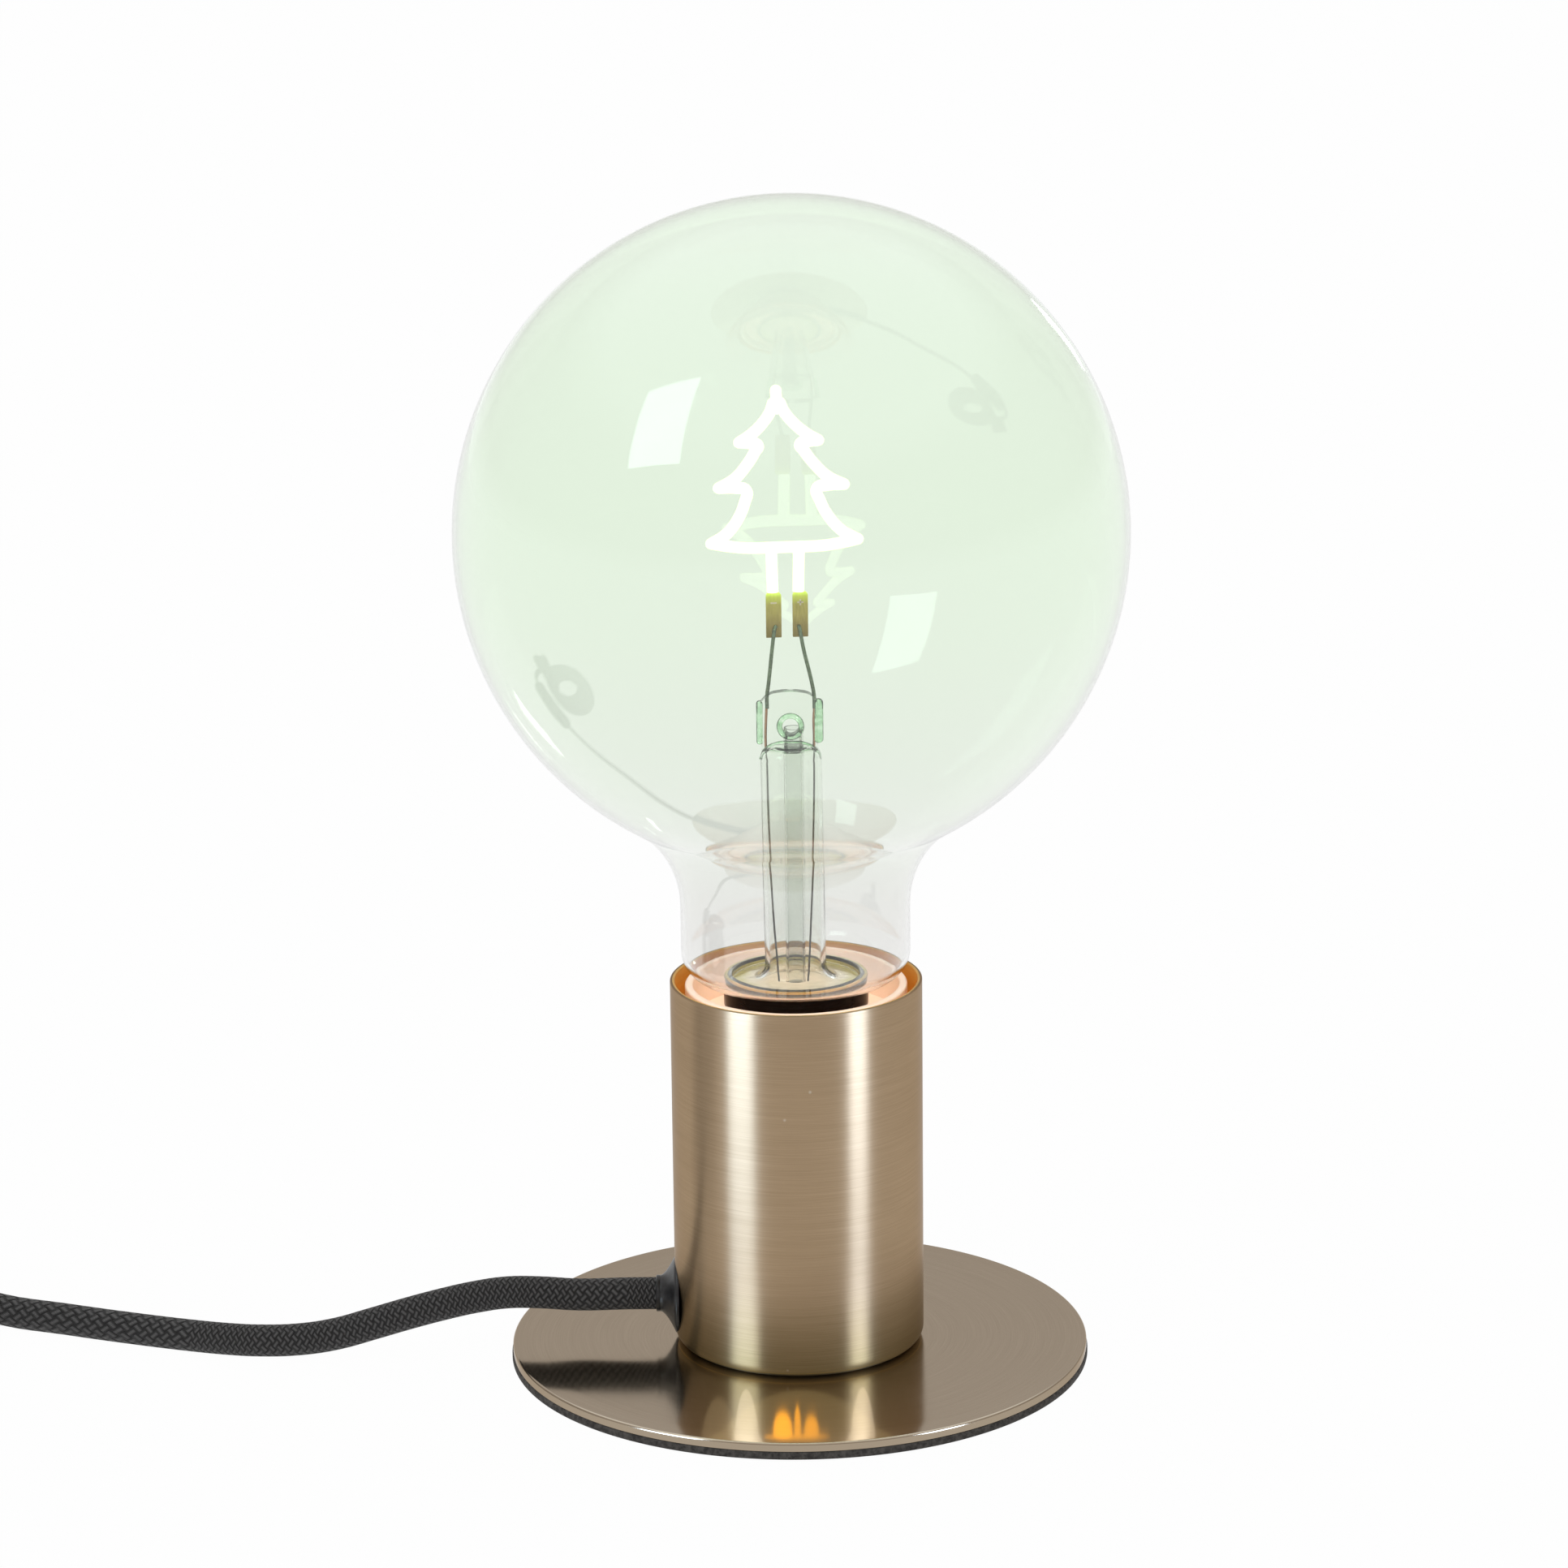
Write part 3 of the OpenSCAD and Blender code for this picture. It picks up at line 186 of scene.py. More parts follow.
def mappingNode(tree, vector, scale, place=(0, 0, 0)):
    node = addNode(tree, "ShaderNodeMapping")
    feed(tree, vector, node, "Vector")
    node.inputs["Location"].default_value = place
    node.inputs["Scale"].default_value = scale
    return node.outputs[0]


# A group that takes a vector and the given numbers, and puts out numbers
def newGroup(name, numbers, outputs):
    group = bpy.data.node_groups.new(name, "ShaderNodeTree")
    group.interface.new_socket("Vector", in_out="INPUT", socket_type="NodeSocketVector")
    for label, value in numbers.items():
        socket = group.interface.new_socket(label, in_out="INPUT", socket_type="NodeSocketFloat")
        socket.default_value = value
    for label in outputs:
        group.interface.new_socket(label, in_out="OUTPUT", socket_type="NodeSocketFloat")
    return group, addNode(group, "NodeGroupInput").outputs, addNode(group, "NodeGroupOutput")


def useGroup(tree, group, **values):
    node = addNode(tree, "ShaderNodeGroup", node_tree=group)
    for key, value in values.items():
        feed(tree, value, node, key)
    return node.outputs


# Effects shared by several finishes

brushPattern = {
    "broadScale": 0.13, "scratchScale": 0.5,  # against the fine lines' own
    "scratchStart": (7, 3, 5),
    "scratchLevel": 0.33,  # noise below it is a scratch
    "fineShare": 0.85, "broadShare": 0.15,
    "scratchShade": 0.06, "scratchDepth": 0.2,
}


# Fine lines and a few deeper scratches along a stretched vector
def makeBrushLines():
    p = brushPattern
    group, put, get = newGroup("brushLines", {}, ["Shade", "Height"])
    vector = put["Vector"]
    fine = noiseNode(group, vector, 1.0, 4.0, 0.65)
    broad = noiseNode(group, mappingNode(group, vector, [p["broadScale"]] * 3), 1.0, 2.0, 0.5)
    scratchVector = mappingNode(group, vector, [p["scratchScale"]] * 3, p["scratchStart"])
    scratch = noiseNode(group, scratchVector, 1.0, 1.0, 0.4)
    deep = mathNode(group, "LESS_THAN", scratch, p["scratchLevel"])
    broadShade = mathNode(group, "MULTIPLY", broad, p["broadShare"])
    shade = mathNode(group, "MULTIPLY_ADD", fine, p["fineShare"], broadShade)
    shade = mathNode(group, "SUBTRACT", shade, mathNode(group, "MULTIPLY", deep, p["scratchShade"]))
    height = mathNode(group, "SUBTRACT", fine, mathNode(group, "MULTIPLY", deep, p["scratchDepth"]))
    feed(group, shade, get, "Shade")
    feed(group, height, get, "Height")
    return group


speckSharpness = 6.0  # a speck reaches a sixth of the way across its cell


# Scattered specks; Amount is the share of cells that hold one
def makeDustSpecks():
    group, put, get = newGroup("dustSpecks", {"Scale": 900.0, "Amount": 0.05}, ["Mask"])
    cells = cellNode(group, put["Vector"], put["Scale"])
    chance = addNode(group, "ShaderNodeSeparateColor")
    feed(group, cells["Color"], chance, 0)
    chosen = mathNode(group, "LESS_THAN", chance.outputs[0], put["Amount"])
    fading = mathNode(group, "MULTIPLY", cells["Distance"], speckSharpness)
    near = mathNode(group, "SUBTRACT", 1.0, fading, clamp=True)
    feed(group, mathNode(group, "MULTIPLY", chosen, near), get, "Mask")
    return group


# Slow unevenness that handling leaves in a gloss, between Low and High
def makeHandling():
    group, put, get = newGroup("handling", {"Scale": 60.0, "Low": 0.2, "High": 0.4}, ["Value"])
    cloud = noiseNode(group, put["Vector"], put["Scale"], 3.0, 0.6, 0.4)
    feed(group, mapRange(group, cloud, *noiseRange, put["Low"], put["High"]), get, "Value")
    return group


pitShare = 0.5  # of the skin's relief, next to its finer grain


# Fine pebbled skin of moulded plastic, foam and rubber
def makeMouldGrain():
    group, put, get = newGroup("mouldGrain", {"Scale": 1500.0}, ["Shade", "Height"])
    grain = noiseNode(group, put["Vector"], put["Scale"], 2.0, 0.6)
    pits = cellNode(group, put["Vector"], put["Scale"], feature="SMOOTH_F1")["Distance"]
    feed(group, grain, get, "Shade")
    feed(group, mathNode(group, "MULTIPLY_ADD", pits, pitShare, grain), get, "Height")
    return group


braidPattern = {
    "roundness": 0.6,  # lower makes a strand's back flatter
    "topShare": 0.8, "underShare": 0.2,
    "threads": 4,  # in a strand
}


# Over and under strands of a braid on a surface's own UV map
def makeBraid():
    p = braidPattern
    group, put, get = newGroup("braid", {"Along": 100.0, "Around": 8.0}, ["Strand", "Height", "Yarn"])
    u, v, _ = splitVector(group, put["Vector"])
    along = mathNode(group, "MULTIPLY", u, put["Along"])
    around = mathNode(group, "MULTIPLY", v, put["Around"])
    left = mathNode(group, "ADD", along, around)
    right = mathNode(group, "SUBTRACT", along, around)
    crown = []
    for way in (left, right):
        wave = mathNode(group, "SINE", mathNode(group, "MULTIPLY", way, math.pi))
        crown.append(mathNode(group, "ABSOLUTE", wave))
    # odd squares show the left strand on top, even ones the right strand
    steps = mathNode(group, "ADD", mathNode(group, "FLOOR", left), mathNode(group, "FLOOR", right))
    odd = mathNode(group, "MULTIPLY", mathNode(group, "FRACT", mathNode(group, "MULTIPLY", steps, 0.5)), 2.0)
    top = mathNode(group, "MULTIPLY_ADD", mathNode(group, "SUBTRACT", crown[0], crown[1]), odd, crown[1])
    under = mathNode(group, "MULTIPLY_ADD", mathNode(group, "SUBTRACT", crown[1], crown[0]), odd, crown[0])
    underHeight = mathNode(group, "MULTIPLY", under, p["underShare"])
    topHeight = mathNode(group, "POWER", top, p["roundness"])
    yarnAlong = mathNode(group, "MULTIPLY_ADD", mathNode(group, "SUBTRACT", right, left), odd, left)
    yarnWave = mathNode(group, "SINE", mathNode(group, "MULTIPLY", yarnAlong, math.pi * p["threads"]))
    feed(group, top, get, "Strand")
    feed(group, mathNode(group, "MULTIPLY_ADD", topHeight, p["topShare"], underHeight), get, "Height")
    feed(group, mathNode(group, "ABSOLUTE", yarnWave), get, "Yarn")
    return group


brushLines = makeBrushLines()
dustSpecks = makeDustSpecks()
handling = makeHandling()
mouldGrain = makeMouldGrain()
braid = makeBraid()


# Material helpers

def newMaterial(name, **sockets):
    material = bpy.data.materials.new(name)
    material.use_nodes = True
    tree = material.node_tree
    shader = tree.nodes["Principled BSDF"]
    for key, value in sockets.items():
        shader.inputs[key.replace("_", " ")].default_value = value
    return material, tree, shader


def objectPlace(tree):
    return addNode(tree, "ShaderNodeTexCoord").outputs["Object"]


# Share of the way from one height to another
def heightShare(tree, place, low, high):
    return mapRange(tree, splitVector(tree, place)[2], low, high)


def flatPlace(tree, place):
    x, y, _ = splitVector(tree, place)
    return joinVector(tree, x, y)


# Distance from the piece's own Z axis
def axisDistance(tree, place):
    return vectorNode(tree, "LENGTH", flatPlace(tree, place), "Value")


def brushed(tree, place, stretch):
    return useGroup(tree, brushLines, Vector=mappingNode(tree, place, stretch))


def addDust(tree, place, colour, scale, amount, strength, tint):
    mask = useGroup(tree, dustSpecks, Vector=place, Scale=scale, Amount=amount)["Mask"]
    return mixColours(tree, mathNode(tree, "MULTIPLY", mask, strength), colour, withAlpha(tint))


# Gloss has a scale and the lowest and highest roughness
def handled(tree, place, gloss):
    scale, low, high = gloss
    return useGroup(tree, handling, Vector=place, Scale=scale, Low=low, High=high)["Value"]


# Roughness that is higher in the pale brush lines
def brushedGloss(tree, place, lines, gloss, swing):
    low = mathNode(tree, "SUBTRACT", handled(tree, place, gloss), swing / 2)
    return mathNode(tree, "MULTIPLY_ADD", lines["Shade"], swing, low)


# Bump of a strength, and of a depth in metres
def addBump(tree, shader, height, strength, depth):
    node = addNode(tree, "ShaderNodeBump")
    for socket, value in {"Strength": strength, "Distance": depth, "Height": height}.items():
        feed(tree, value, node, socket)
    feed(tree, node.outputs[0], shader, "Normal")


def addTangent(tree, shader):
    node = addNode(tree, "ShaderNodeTangent", direction_type="RADIAL", axis="Z")
    feed(tree, node.outputs[0], shader, "Tangent")


# Brass

lineDepth = 0.00002

brassLook = {
    "edgeTint": (0.72, 0.66, 0.6),
    "relief": 0.12,
    "brushTurn": 0.25,  # the highlight lies across the lines
    "cupDark": (0.335, 0.240, 0.145),
    "cupLight": (0.435, 0.315, 0.200),
    "cupStretch": (75, 75, 8500),
    "cupShine": 0.92,
    "cupGloss": (45.0, 0.31, 0.37),
    "cupSwing": 0.1,
    "cupDust": {"scale": 420.0, "amount": 0.012, "strength": 0.5, "tint": (0.75, 0.7, 0.62)},
    # painted shade: the cup's outside darkens towards its foot
    "paintedFootShade": (0.58, 0.60, 0.48),
    "shadedFootHeights": (0.004, 0.026),
    "footFade": 0.75,
    # painted glow: the orange inside the cup stands in for the lit bulb's warm light
    "paintedGlowDark": (0.76, 0.43, 0.075),
    "paintedGlowLight": (0.92, 0.56, 0.13),
    "insideRadius": 0.02335,
    "insideHeights": (0.0041, 0.0043),  # the floor's underside stays plain
    "insideMatte": 0.7,
    "plateDark": (0.53, 0.465, 0.375),
    "plateLight": (0.60, 0.53, 0.43),
    "plateShine": 0.6,
    "plateGloss": (35.0, 0.11, 0.17),
    "plateSwing": 0.08,
    "plateDust": {"scale": 330.0, "amount": 0.02, "strength": 0.6, "tint": (0.8, 0.76, 0.7)},
    "plateRings": 5200.0,
    "ringWander": 2.2,
    "plateSide": 0.0548,
    # painted shade: the plate's upright edge is darker than its top
    "plateSidePaintedShade": (0.37, 0.30, 0.22),
}


def newBrass(name, shine):
    b = brassLook
    return newMaterial(
        name, Metallic=1.0, Anisotropic=shine, Anisotropic_Rotation=b["brushTurn"],
        Specular_Tint=withAlpha(b["edgeTint"]))


def makeCupBrass():
    b = brassLook
    material, tree, shader = newBrass("cupBrass", b["cupShine"])
    place = objectPlace(tree)
    lines = brushed(tree, place, b["cupStretch"])
    outside = twoTones(tree, lines["Shade"], b["cupDark"], b["cupLight"])
    # painted shade, darkest at the cup's foot and gone further up
    footShare = heightShare(tree, place, *b["shadedFootHeights"])
    foot = rampNode(tree, footShare, [(0.0, b["paintedFootShade"]), (b["footFade"], (1, 1, 1))])
    outside = mixColours(tree, 1.0, outside, foot, "MULTIPLY")
    # painted glow of the lit bulb on the inner wall, made mostly matte so that it shows
    inside = twoTones(tree, lines["Shade"], b["paintedGlowDark"], b["paintedGlowLight"])
    isInside = mathNode(tree, "LESS_THAN", axisDistance(tree, place), b["insideRadius"])
    isInside = mathNode(tree, "MULTIPLY", isInside, heightShare(tree, place, *b["insideHeights"]))
    colour = addDust(tree, place, mixColours(tree, isInside, outside, inside), **b["cupDust"])
    feed(tree, colour, shader, "Base Color")
    feed(tree, mathNode(tree, "MULTIPLY_ADD", isInside, -b["insideMatte"], 1.0), shader, "Metallic")
    feed(tree, brushedGloss(tree, place, lines, b["cupGloss"], b["cupSwing"]), shader, "Roughness")
    addBump(tree, shader, lines["Height"], b["relief"], lineDepth)
    addTangent(tree, shader)
    return material


def makePlateBrass():
    b = brassLook
    material, tree, shader = newBrass("plateBrass", b["plateShine"])
    place = objectPlace(tree)
    distance = axisDistance(tree, place)
    x, y, _ = splitVector(tree, vectorNode(tree, "NORMALIZE", flatPlace(tree, place), "Vector"))
    rings = joinVector(
        tree, mathNode(tree, "MULTIPLY", distance, b["plateRings"]),
        mathNode(tree, "MULTIPLY", x, b["ringWander"]), mathNode(tree, "MULTIPLY", y, b["ringWander"]))
    lines = useGroup(tree, brushLines, Vector=rings)
    colour = twoTones(tree, lines["Shade"], b["plateDark"], b["plateLight"])
    # painted shade on the plate's upright edge
    side = mathNode(tree, "GREATER_THAN", distance, b["plateSide"])
    colour = mixColours(tree, side, colour, withAlpha(b["plateSidePaintedShade"]))
    feed(tree, addDust(tree, place, colour, **b["plateDust"]), shader, "Base Color")
    feed(tree, brushedGloss(tree, place, lines, b["plateGloss"], b["plateSwing"]), shader, "Roughness")
    addBump(tree, shader, lines["Height"], b["relief"], lineDepth)
    addTangent(tree, shader)
    return material


# Moulded plastic, foam and rubber; gloss is the lowest and highest roughness

mouldedSkin = {
    "tonesFrom": 0.35, "tonesTo": 0.65,
    "glossScale": 120.0, "depth": 0.00006, "mirror": 0.45,
    "dust": {"scale": 500.0, "amount": 0.03, "strength": 0.35},
}
mouldedLooks = {
    "pad_foam": {"name": "padFoam", "dark": (0.028, 0.025, 0.023), "light": (0.09, 0.082, 0.075),
                 "gloss": (0.8, 0.95), "grain": 1100.0, "relief": 0.9},
    "grommet_black": {"name": "grommetPlastic", "dark": (0.010, 0.010, 0.011), "light": (0.02, 0.02, 0.022),
                      "gloss": (0.28, 0.42), "grain": 900.0, "relief": 0.1},
    "wire_brown": {"name": "brownInsulation", "dark": (0.10, 0.04, 0.02), "light": (0.16, 0.07, 0.03),
                   "gloss": (0.35, 0.5)},
    "wire_blue": {"name": "blueInsulation", "dark": (0.02, 0.07, 0.25), "light": (0.04, 0.12, 0.38),
                  "gloss": (0.35, 0.5)},
    "cap_black": {"name": "capInsulator", "dark": (0.006, 0.006, 0.008), "light": (0.014, 0.014, 0.018),
                  "gloss": (0.08, 0.16), "grain": 300.0, "relief": 0.03},
    "board_green": {"name": "boardGreen", "dark": (0.01, 0.08, 0.03), "light": (0.02, 0.13, 0.05),
                    "gloss": (0.25, 0.4)},
    "driver_dark": {"name": "driverParts", "dark": (0.012, 0.013, 0.018), "light": (0.03, 0.032, 0.04),
                    "gloss": (0.35, 0.5)},
    "switch_black": {"name": "switchPlastic", "dark": (0.008, 0.008, 0.008), "light": (0.018, 0.018, 0.018),
                     "gloss": (0.25, 0.4), "grain": 1400.0, "relief": 0.25},
    "rocker_black": {"name": "rockerPlastic", "dark": (0.014, 0.014, 0.014), "light": (0.026, 0.026, 0.026),
                     "gloss": (0.12, 0.22), "grain": 900.0, "relief": 0.05},
    "tie_black": {"name": "tieStrap", "dark": (0.012, 0.012, 0.012), "light": (0.045, 0.045, 0.045),
                  "gloss": (0.8, 0.95), "grain": 900.0, "relief": 0.9, "sheen": 0.5},
    "plug_black": {"name": "plugRubber", "dark": (0.009, 0.009, 0.009), "light": (0.02, 0.02, 0.02),
                   "gloss": (0.4, 0.55), "grain": 1300.0, "relief": 0.3},
}


def makeMoulded(name, dark, light, gloss, grain=1500.0, relief=0.2, sheen=0.0):
    m = mouldedSkin
    material, tree, shader = newMaterial(name, Sheen_Weight=sheen, Specular_IOR_Level=m["mirror"])
    place = objectPlace(tree)
    skin = useGroup(tree, mouldGrain, Vector=place, Scale=grain)
    colour = rampNode(tree, skin["Shade"], [(m["tonesFrom"], dark), (m["tonesTo"], light)])
    pale = [min(1, part * 2 + 0.05) for part in light]
    feed(tree, addDust(tree, place, colour, tint=pale, **m["dust"]), shader, "Base Color")
    feed(tree, handled(tree, place, (m["glossScale"], *gloss)), shader, "Roughness")
    addBump(tree, shader, skin["Height"], relief, m["depth"])
    return material


# Plain metals

metalStretch = (400, 400, 3000)
metalGlossScale = 150.0
metalRelief = 0.12
metalLooks = {
    "zinc_steel": {"name": "zincSteel", "dark": (0.38, 0.38, 0.39), "light": (0.62, 0.62, 0.63),
                   "gloss": (0.22, 0.4)},
    "contact_brass": {"name": "contactBrass", "dark": (0.48, 0.36, 0.16), "light": (0.72, 0.56, 0.28),
                      "gloss": (0.2, 0.35)},
    # the green in the lead wire's tones is a painted reflection of the filament's glow
    "lead_wire": {"name": "leadWire", "dark": (0.06, 0.08, 0.05), "light": (0.24, 0.30, 0.20),
                  "gloss": (0.2, 0.35)},
    "stem_wire": {"name": "stemWire", "dark": (0.02, 0.017, 0.01), "light": (0.055, 0.045, 0.025),
                  "gloss": (0.4, 0.55)},
    "copper_wire": {"name": "copperWire", "dark": (0.5, 0.2, 0.1), "light": (0.7, 0.34, 0.2),
                    "gloss": (0.3, 0.45)},
    "pin_nickel": {"name": "pinNickel", "dark": (0.50, 0.49, 0.47), "light": (0.74, 0.73, 0.70),
                   "gloss": (0.1, 0.22)},
}


def makeMetal(name, dark, light, gloss):
    material, tree, shader = newMaterial(name, Metallic=1.0)
    place = objectPlace(tree)
    lines = brushed(tree, place, metalStretch)
    feed(tree, twoTones(tree, lines["Shade"], dark, light), shader, "Base Color")
    feed(tree, handled(tree, place, (metalGlossScale, *gloss)), shader, "Roughness")
    addBump(tree, shader, lines["Height"], metalRelief, lineDepth)
    return material


# Textile of the cord

textileLook = {
    # strand tones: painted shade in the gaps and where a strand dips under, a painted highlight on the crowns
    "strand": [(0.2, (0.003, 0.002, 0.002)), (0.7, (0.013, 0.012, 0.012)), (1.0, (0.11, 0.105, 0.105))],
    "yarnTone": (0.012, 0.012, 0.012), "yarnShare": 0.35,
    "fluff": {"scale": 700.0, "amount": 0.02, "strength": 0.3, "tint": (0.25, 0.22, 0.2)},
    "roughness": 0.75, "smoother": 0.2,  # by this much on a strand's crown
    "yarnHeight": 0.12, "relief": 0.9, "depth": 0.00045,
    "sheen": {"Sheen_Weight": 0.08, "Sheen_Roughness": 0.5, "Specular_IOR_Level": 0.4},
}


def makeCordBraid(name, along, around):
    t = textileLook
    material, tree, shader = newMaterial(name, **t["sheen"])
    uv = addNode(tree, "ShaderNodeTexCoord").outputs["UV"]
    weave = useGroup(tree, braid, Vector=uv, Along=along, Around=around)
    # painted highlight on the strands' crowns and painted shade between them
    colour = rampNode(tree, weave["Strand"], t["strand"])
    yarn = mathNode(tree, "MULTIPLY", weave["Yarn"], t["yarnShare"])
    colour = mixColours(tree, yarn, colour, withAlpha(t["yarnTone"]))
    feed(tree, addDust(tree, objectPlace(tree), colour, **t["fluff"]), shader, "Base Color")
    rough = mathNode(tree, "MULTIPLY_ADD", weave["Strand"], -t["smoother"], t["roughness"])
    feed(tree, rough, shader, "Roughness")
    height = mathNode(tree, "MULTIPLY_ADD", weave["Yarn"], t["yarnHeight"], weave["Height"])
    addBump(tree, shader, height, t["relief"], t["depth"])
    return material


# Porcelain

porcelainLook = {
    "dark": (0.80, 0.60, 0.47), "light": (0.88, 0.69, 0.56),
    "cloud": {"scale": 90.0, "detail": 3.0, "roughness": 0.55},
    "gloss": (80.0, 0.25, 0.4),
    "skin": {"scale": 700.0, "detail": 2.0}, "relief": 0.05, "depth": 0.00005,
    "glaze": {"Coat_Weight": 0.6, "Coat_Roughness": 0.12, "Subsurface_Weight": 0.12,
              "Subsurface_Radius": (0.004, 0.002, 0.001), "Subsurface_Scale": 0.5},
}


def makePorcelain():
    p = porcelainLook
    material, tree, shader = newMaterial("porcelain", **p["glaze"])
    place = objectPlace(tree)
    cloud = noiseNode(tree, place, **p["cloud"])
    feed(tree, twoTones(tree, cloud, p["dark"], p["light"]), shader, "Base Color")
    feed(tree, handled(tree, place, p["gloss"]), shader, "Roughness")
    addBump(tree, shader, noiseNode(tree, place, **p["skin"]), p["relief"], p["depth"])
    return material


# Glass: the globe's colour goes from plain grey at the neck to green at the crown, a painted glow of the lit
# filament

globeLook = {
    "heights": (0.085, 0.222),
    "tintsAndPaintedGlow": [(0.0, (0.895, 0.893, 0.88)), (0.18, (0.886, 0.915, 0.87)), (0.5, (0.885, 0.95, 0.862)),
              (0.84, (0.892, 0.96, 0.872)), (1.0, (0.917, 0.973, 0.903))],
    "film": (30.0, 0.0, 0.012),
    "body": {"Transmission_Weight": 1.0, "IOR": 1.5, "Specular_IOR_Level": 0.3},
}
stemGlassBody = {"Transmission_Weight": 1.0, "IOR": 1.54}
waveDepth = 0.0003
stemGlassLooks = {
    "stem_glass": {
        "name": "stemGlass", "cloud": {"scale": 120.0, "detail": 2.0}, "film": (90.0, 0.0, 0.03),
        "tintsAndPaintedGlow": [(0.3, (0.93, 0.95, 0.92)), (0.7, (0.97, 0.985, 0.965))],
        "waves": (300, 300, 40), "waveDetail": 1.0, "relief": 0.15,
    },
    # thick glass of the seal, coloured green by a painted glow of the filament
    "seal_glass": {
        "name": "sealGlass", "cloud": {"scale": 500.0, "detail": 2.0, "roughness": 0.6, "distortion": 1.0},
        "film": (200.0, 0.0, 0.06),
        "tintsAndPaintedGlow": [(0.3, (0.25, 0.50, 0.26)), (0.55, (0.66, 0.92, 0.68)), (0.75, (0.9, 0.97, 0.9))],
        "waves": (900, 900, 900), "waveDetail": 2.0, "relief": 0.3,
    },
}


def makeGlobeGlass():
    g = globeLook
    material, tree, shader = newMaterial("globeGlass", **g["body"])
    place = objectPlace(tree)
    # painted glow: greener towards the crown
    feed(tree, rampNode(tree, heightShare(tree, place, *g["heights"]), g["tintsAndPaintedGlow"]), shader, "Base Color")
    feed(tree, handled(tree, place, g["film"]), shader, "Roughness")
    return material


def makeStemGlass(name, cloud, film, tintsAndPaintedGlow, waves, waveDetail, relief):
    material, tree, shader = newMaterial(name, **stemGlassBody)
    place = objectPlace(tree)
    feed(tree, rampNode(tree, noiseNode(tree, place, **cloud), tintsAndPaintedGlow), shader, "Base Color")
    feed(tree, handled(tree, place, film), shader, "Roughness")
    wavy = noiseNode(tree, mappingNode(tree, place, waves), 1.0, waveDetail)
    addBump(tree, shader, wavy, relief, waveDepth)
    return material


# Cement: cream in the middle, olive further out, orange where it meets the collar

cementLook = {
    "tones": [(0.0, (0.74, 0.68, 0.56)), (0.52, (0.70, 0.64, 0.50)), (0.64, (0.54, 0.50, 0.14)),
              (0.80, (0.46, 0.40, 0.08)), (0.86, (0.85, 0.45, 0.09)), (1.0, (0.9, 0.5, 0.14))],
    "tonesPerMetre": 60.0,
    "grain": 420.0, "grainShade": (0.78, 0.78, 0.74),
    "wander": 0.004, "wanderNoise": {"scale": 260.0, "detail": 3.0},
    "frontWell": 0.09,  # the outer tones well up more at the front
    "gloss": (200.0, 0.3, 0.6), "relief": 0.6, "depth": 0.0001,
}


def makeCement():
    c = cementLook
    material, tree, shader = newMaterial("capCement", Specular_IOR_Level=0.4)
    place = objectPlace(tree)
    skin = useGroup(tree, mouldGrain, Vector=place, Scale=c["grain"])
    swing = mathNode(tree, "SUBTRACT", noiseNode(tree, place, **c["wanderNoise"]), 0.5)
    distance = mathNode(tree, "MULTIPLY_ADD", swing, c["wander"], axisDistance(tree, place))
    distance = mathNode(tree, "MULTIPLY_ADD", splitVector(tree, place)[1], -c["frontWell"], distance)
    colour = rampNode(tree, mathNode(tree, "MULTIPLY", distance, c["tonesPerMetre"]), c["tones"])
    shade = twoTones(tree, skin["Shade"], c["grainShade"], (1, 1, 1))
    feed(tree, mixColours(tree, 1.0, colour, shade, "MULTIPLY"), shader, "Base Color")
    feed(tree, handled(tree, place, c["gloss"]), shader, "Roughness")
    addBump(tree, shader, skin["Height"], c["relief"], c["depth"])
    return material


# Cap: nickel below; the collar above is painted black, a painted dark reflection of what the nickel faces

capLook = {
    "collarRadius": 0.01335, "collarHeights": (0.0701, 0.0703),
    "nickelDark": (0.42, 0.41, 0.40), "nickelLight": (0.66, 0.65, 0.63),
    "paintedReflectionDark": (0.004, 0.004, 0.005), "paintedReflectionLight": (0.010, 0.010, 0.012),
    "relief": 0.08,
    "body": {"Roughness": 0.2, "Specular_IOR_Level": 0.12},
}


def makeCapNickel():
    c = capLook
    material, tree, shader = newMaterial("capNickel", **c["body"])
    place = objectPlace(tree)
    outer = mathNode(tree, "GREATER_THAN", axisDistance(tree, place), c["collarRadius"])
    collar = mathNode(tree, "MULTIPLY", outer, heightShare(tree, place, *c["collarHeights"]))
    lines = brushed(tree, place, metalStretch)
    nickel = twoTones(tree, lines["Shade"], c["nickelDark"], c["nickelLight"])
    # painted reflection: the collar is dark and not metal
    paintedDarkReflection = twoTones(tree, lines["Shade"], c["paintedReflectionDark"], c["paintedReflectionLight"])
    feed(tree, mixColours(tree, collar, nickel, paintedDarkReflection), shader, "Base Color")
    feed(tree, mathNode(tree, "SUBTRACT", 1.0, collar), shader, "Metallic")
    addBump(tree, shader, lines["Height"], c["relief"], lineDepth)
    return material


# Tab: plated, with painted shade at its foot and a painted lime glow where the filament lights its top

tabLook = {
    "stretch": (3000, 3000, 500),
    "dark": (0.36, 0.26, 0.07), "light": (0.56, 0.42, 0.14),
    "shadedFootTone": (0.22, 0.15, 0.03), "shadedFootHeights": (0.1405, 0.1455),
    "glowHeights": (0.1435, 0.1497),
    "glow": [(0.0, (0, 0, 0)), (0.6, (0.04, 0.06, 0.0)), (0.85, (0.22, 0.36, 0.01)), (1.0, (0.62, 1.0, 0.1))],
    "relief": 0.1,
    "body": {"Metallic": 0.85, "Roughness": 0.38, "Emission_Strength": 1.0},
}


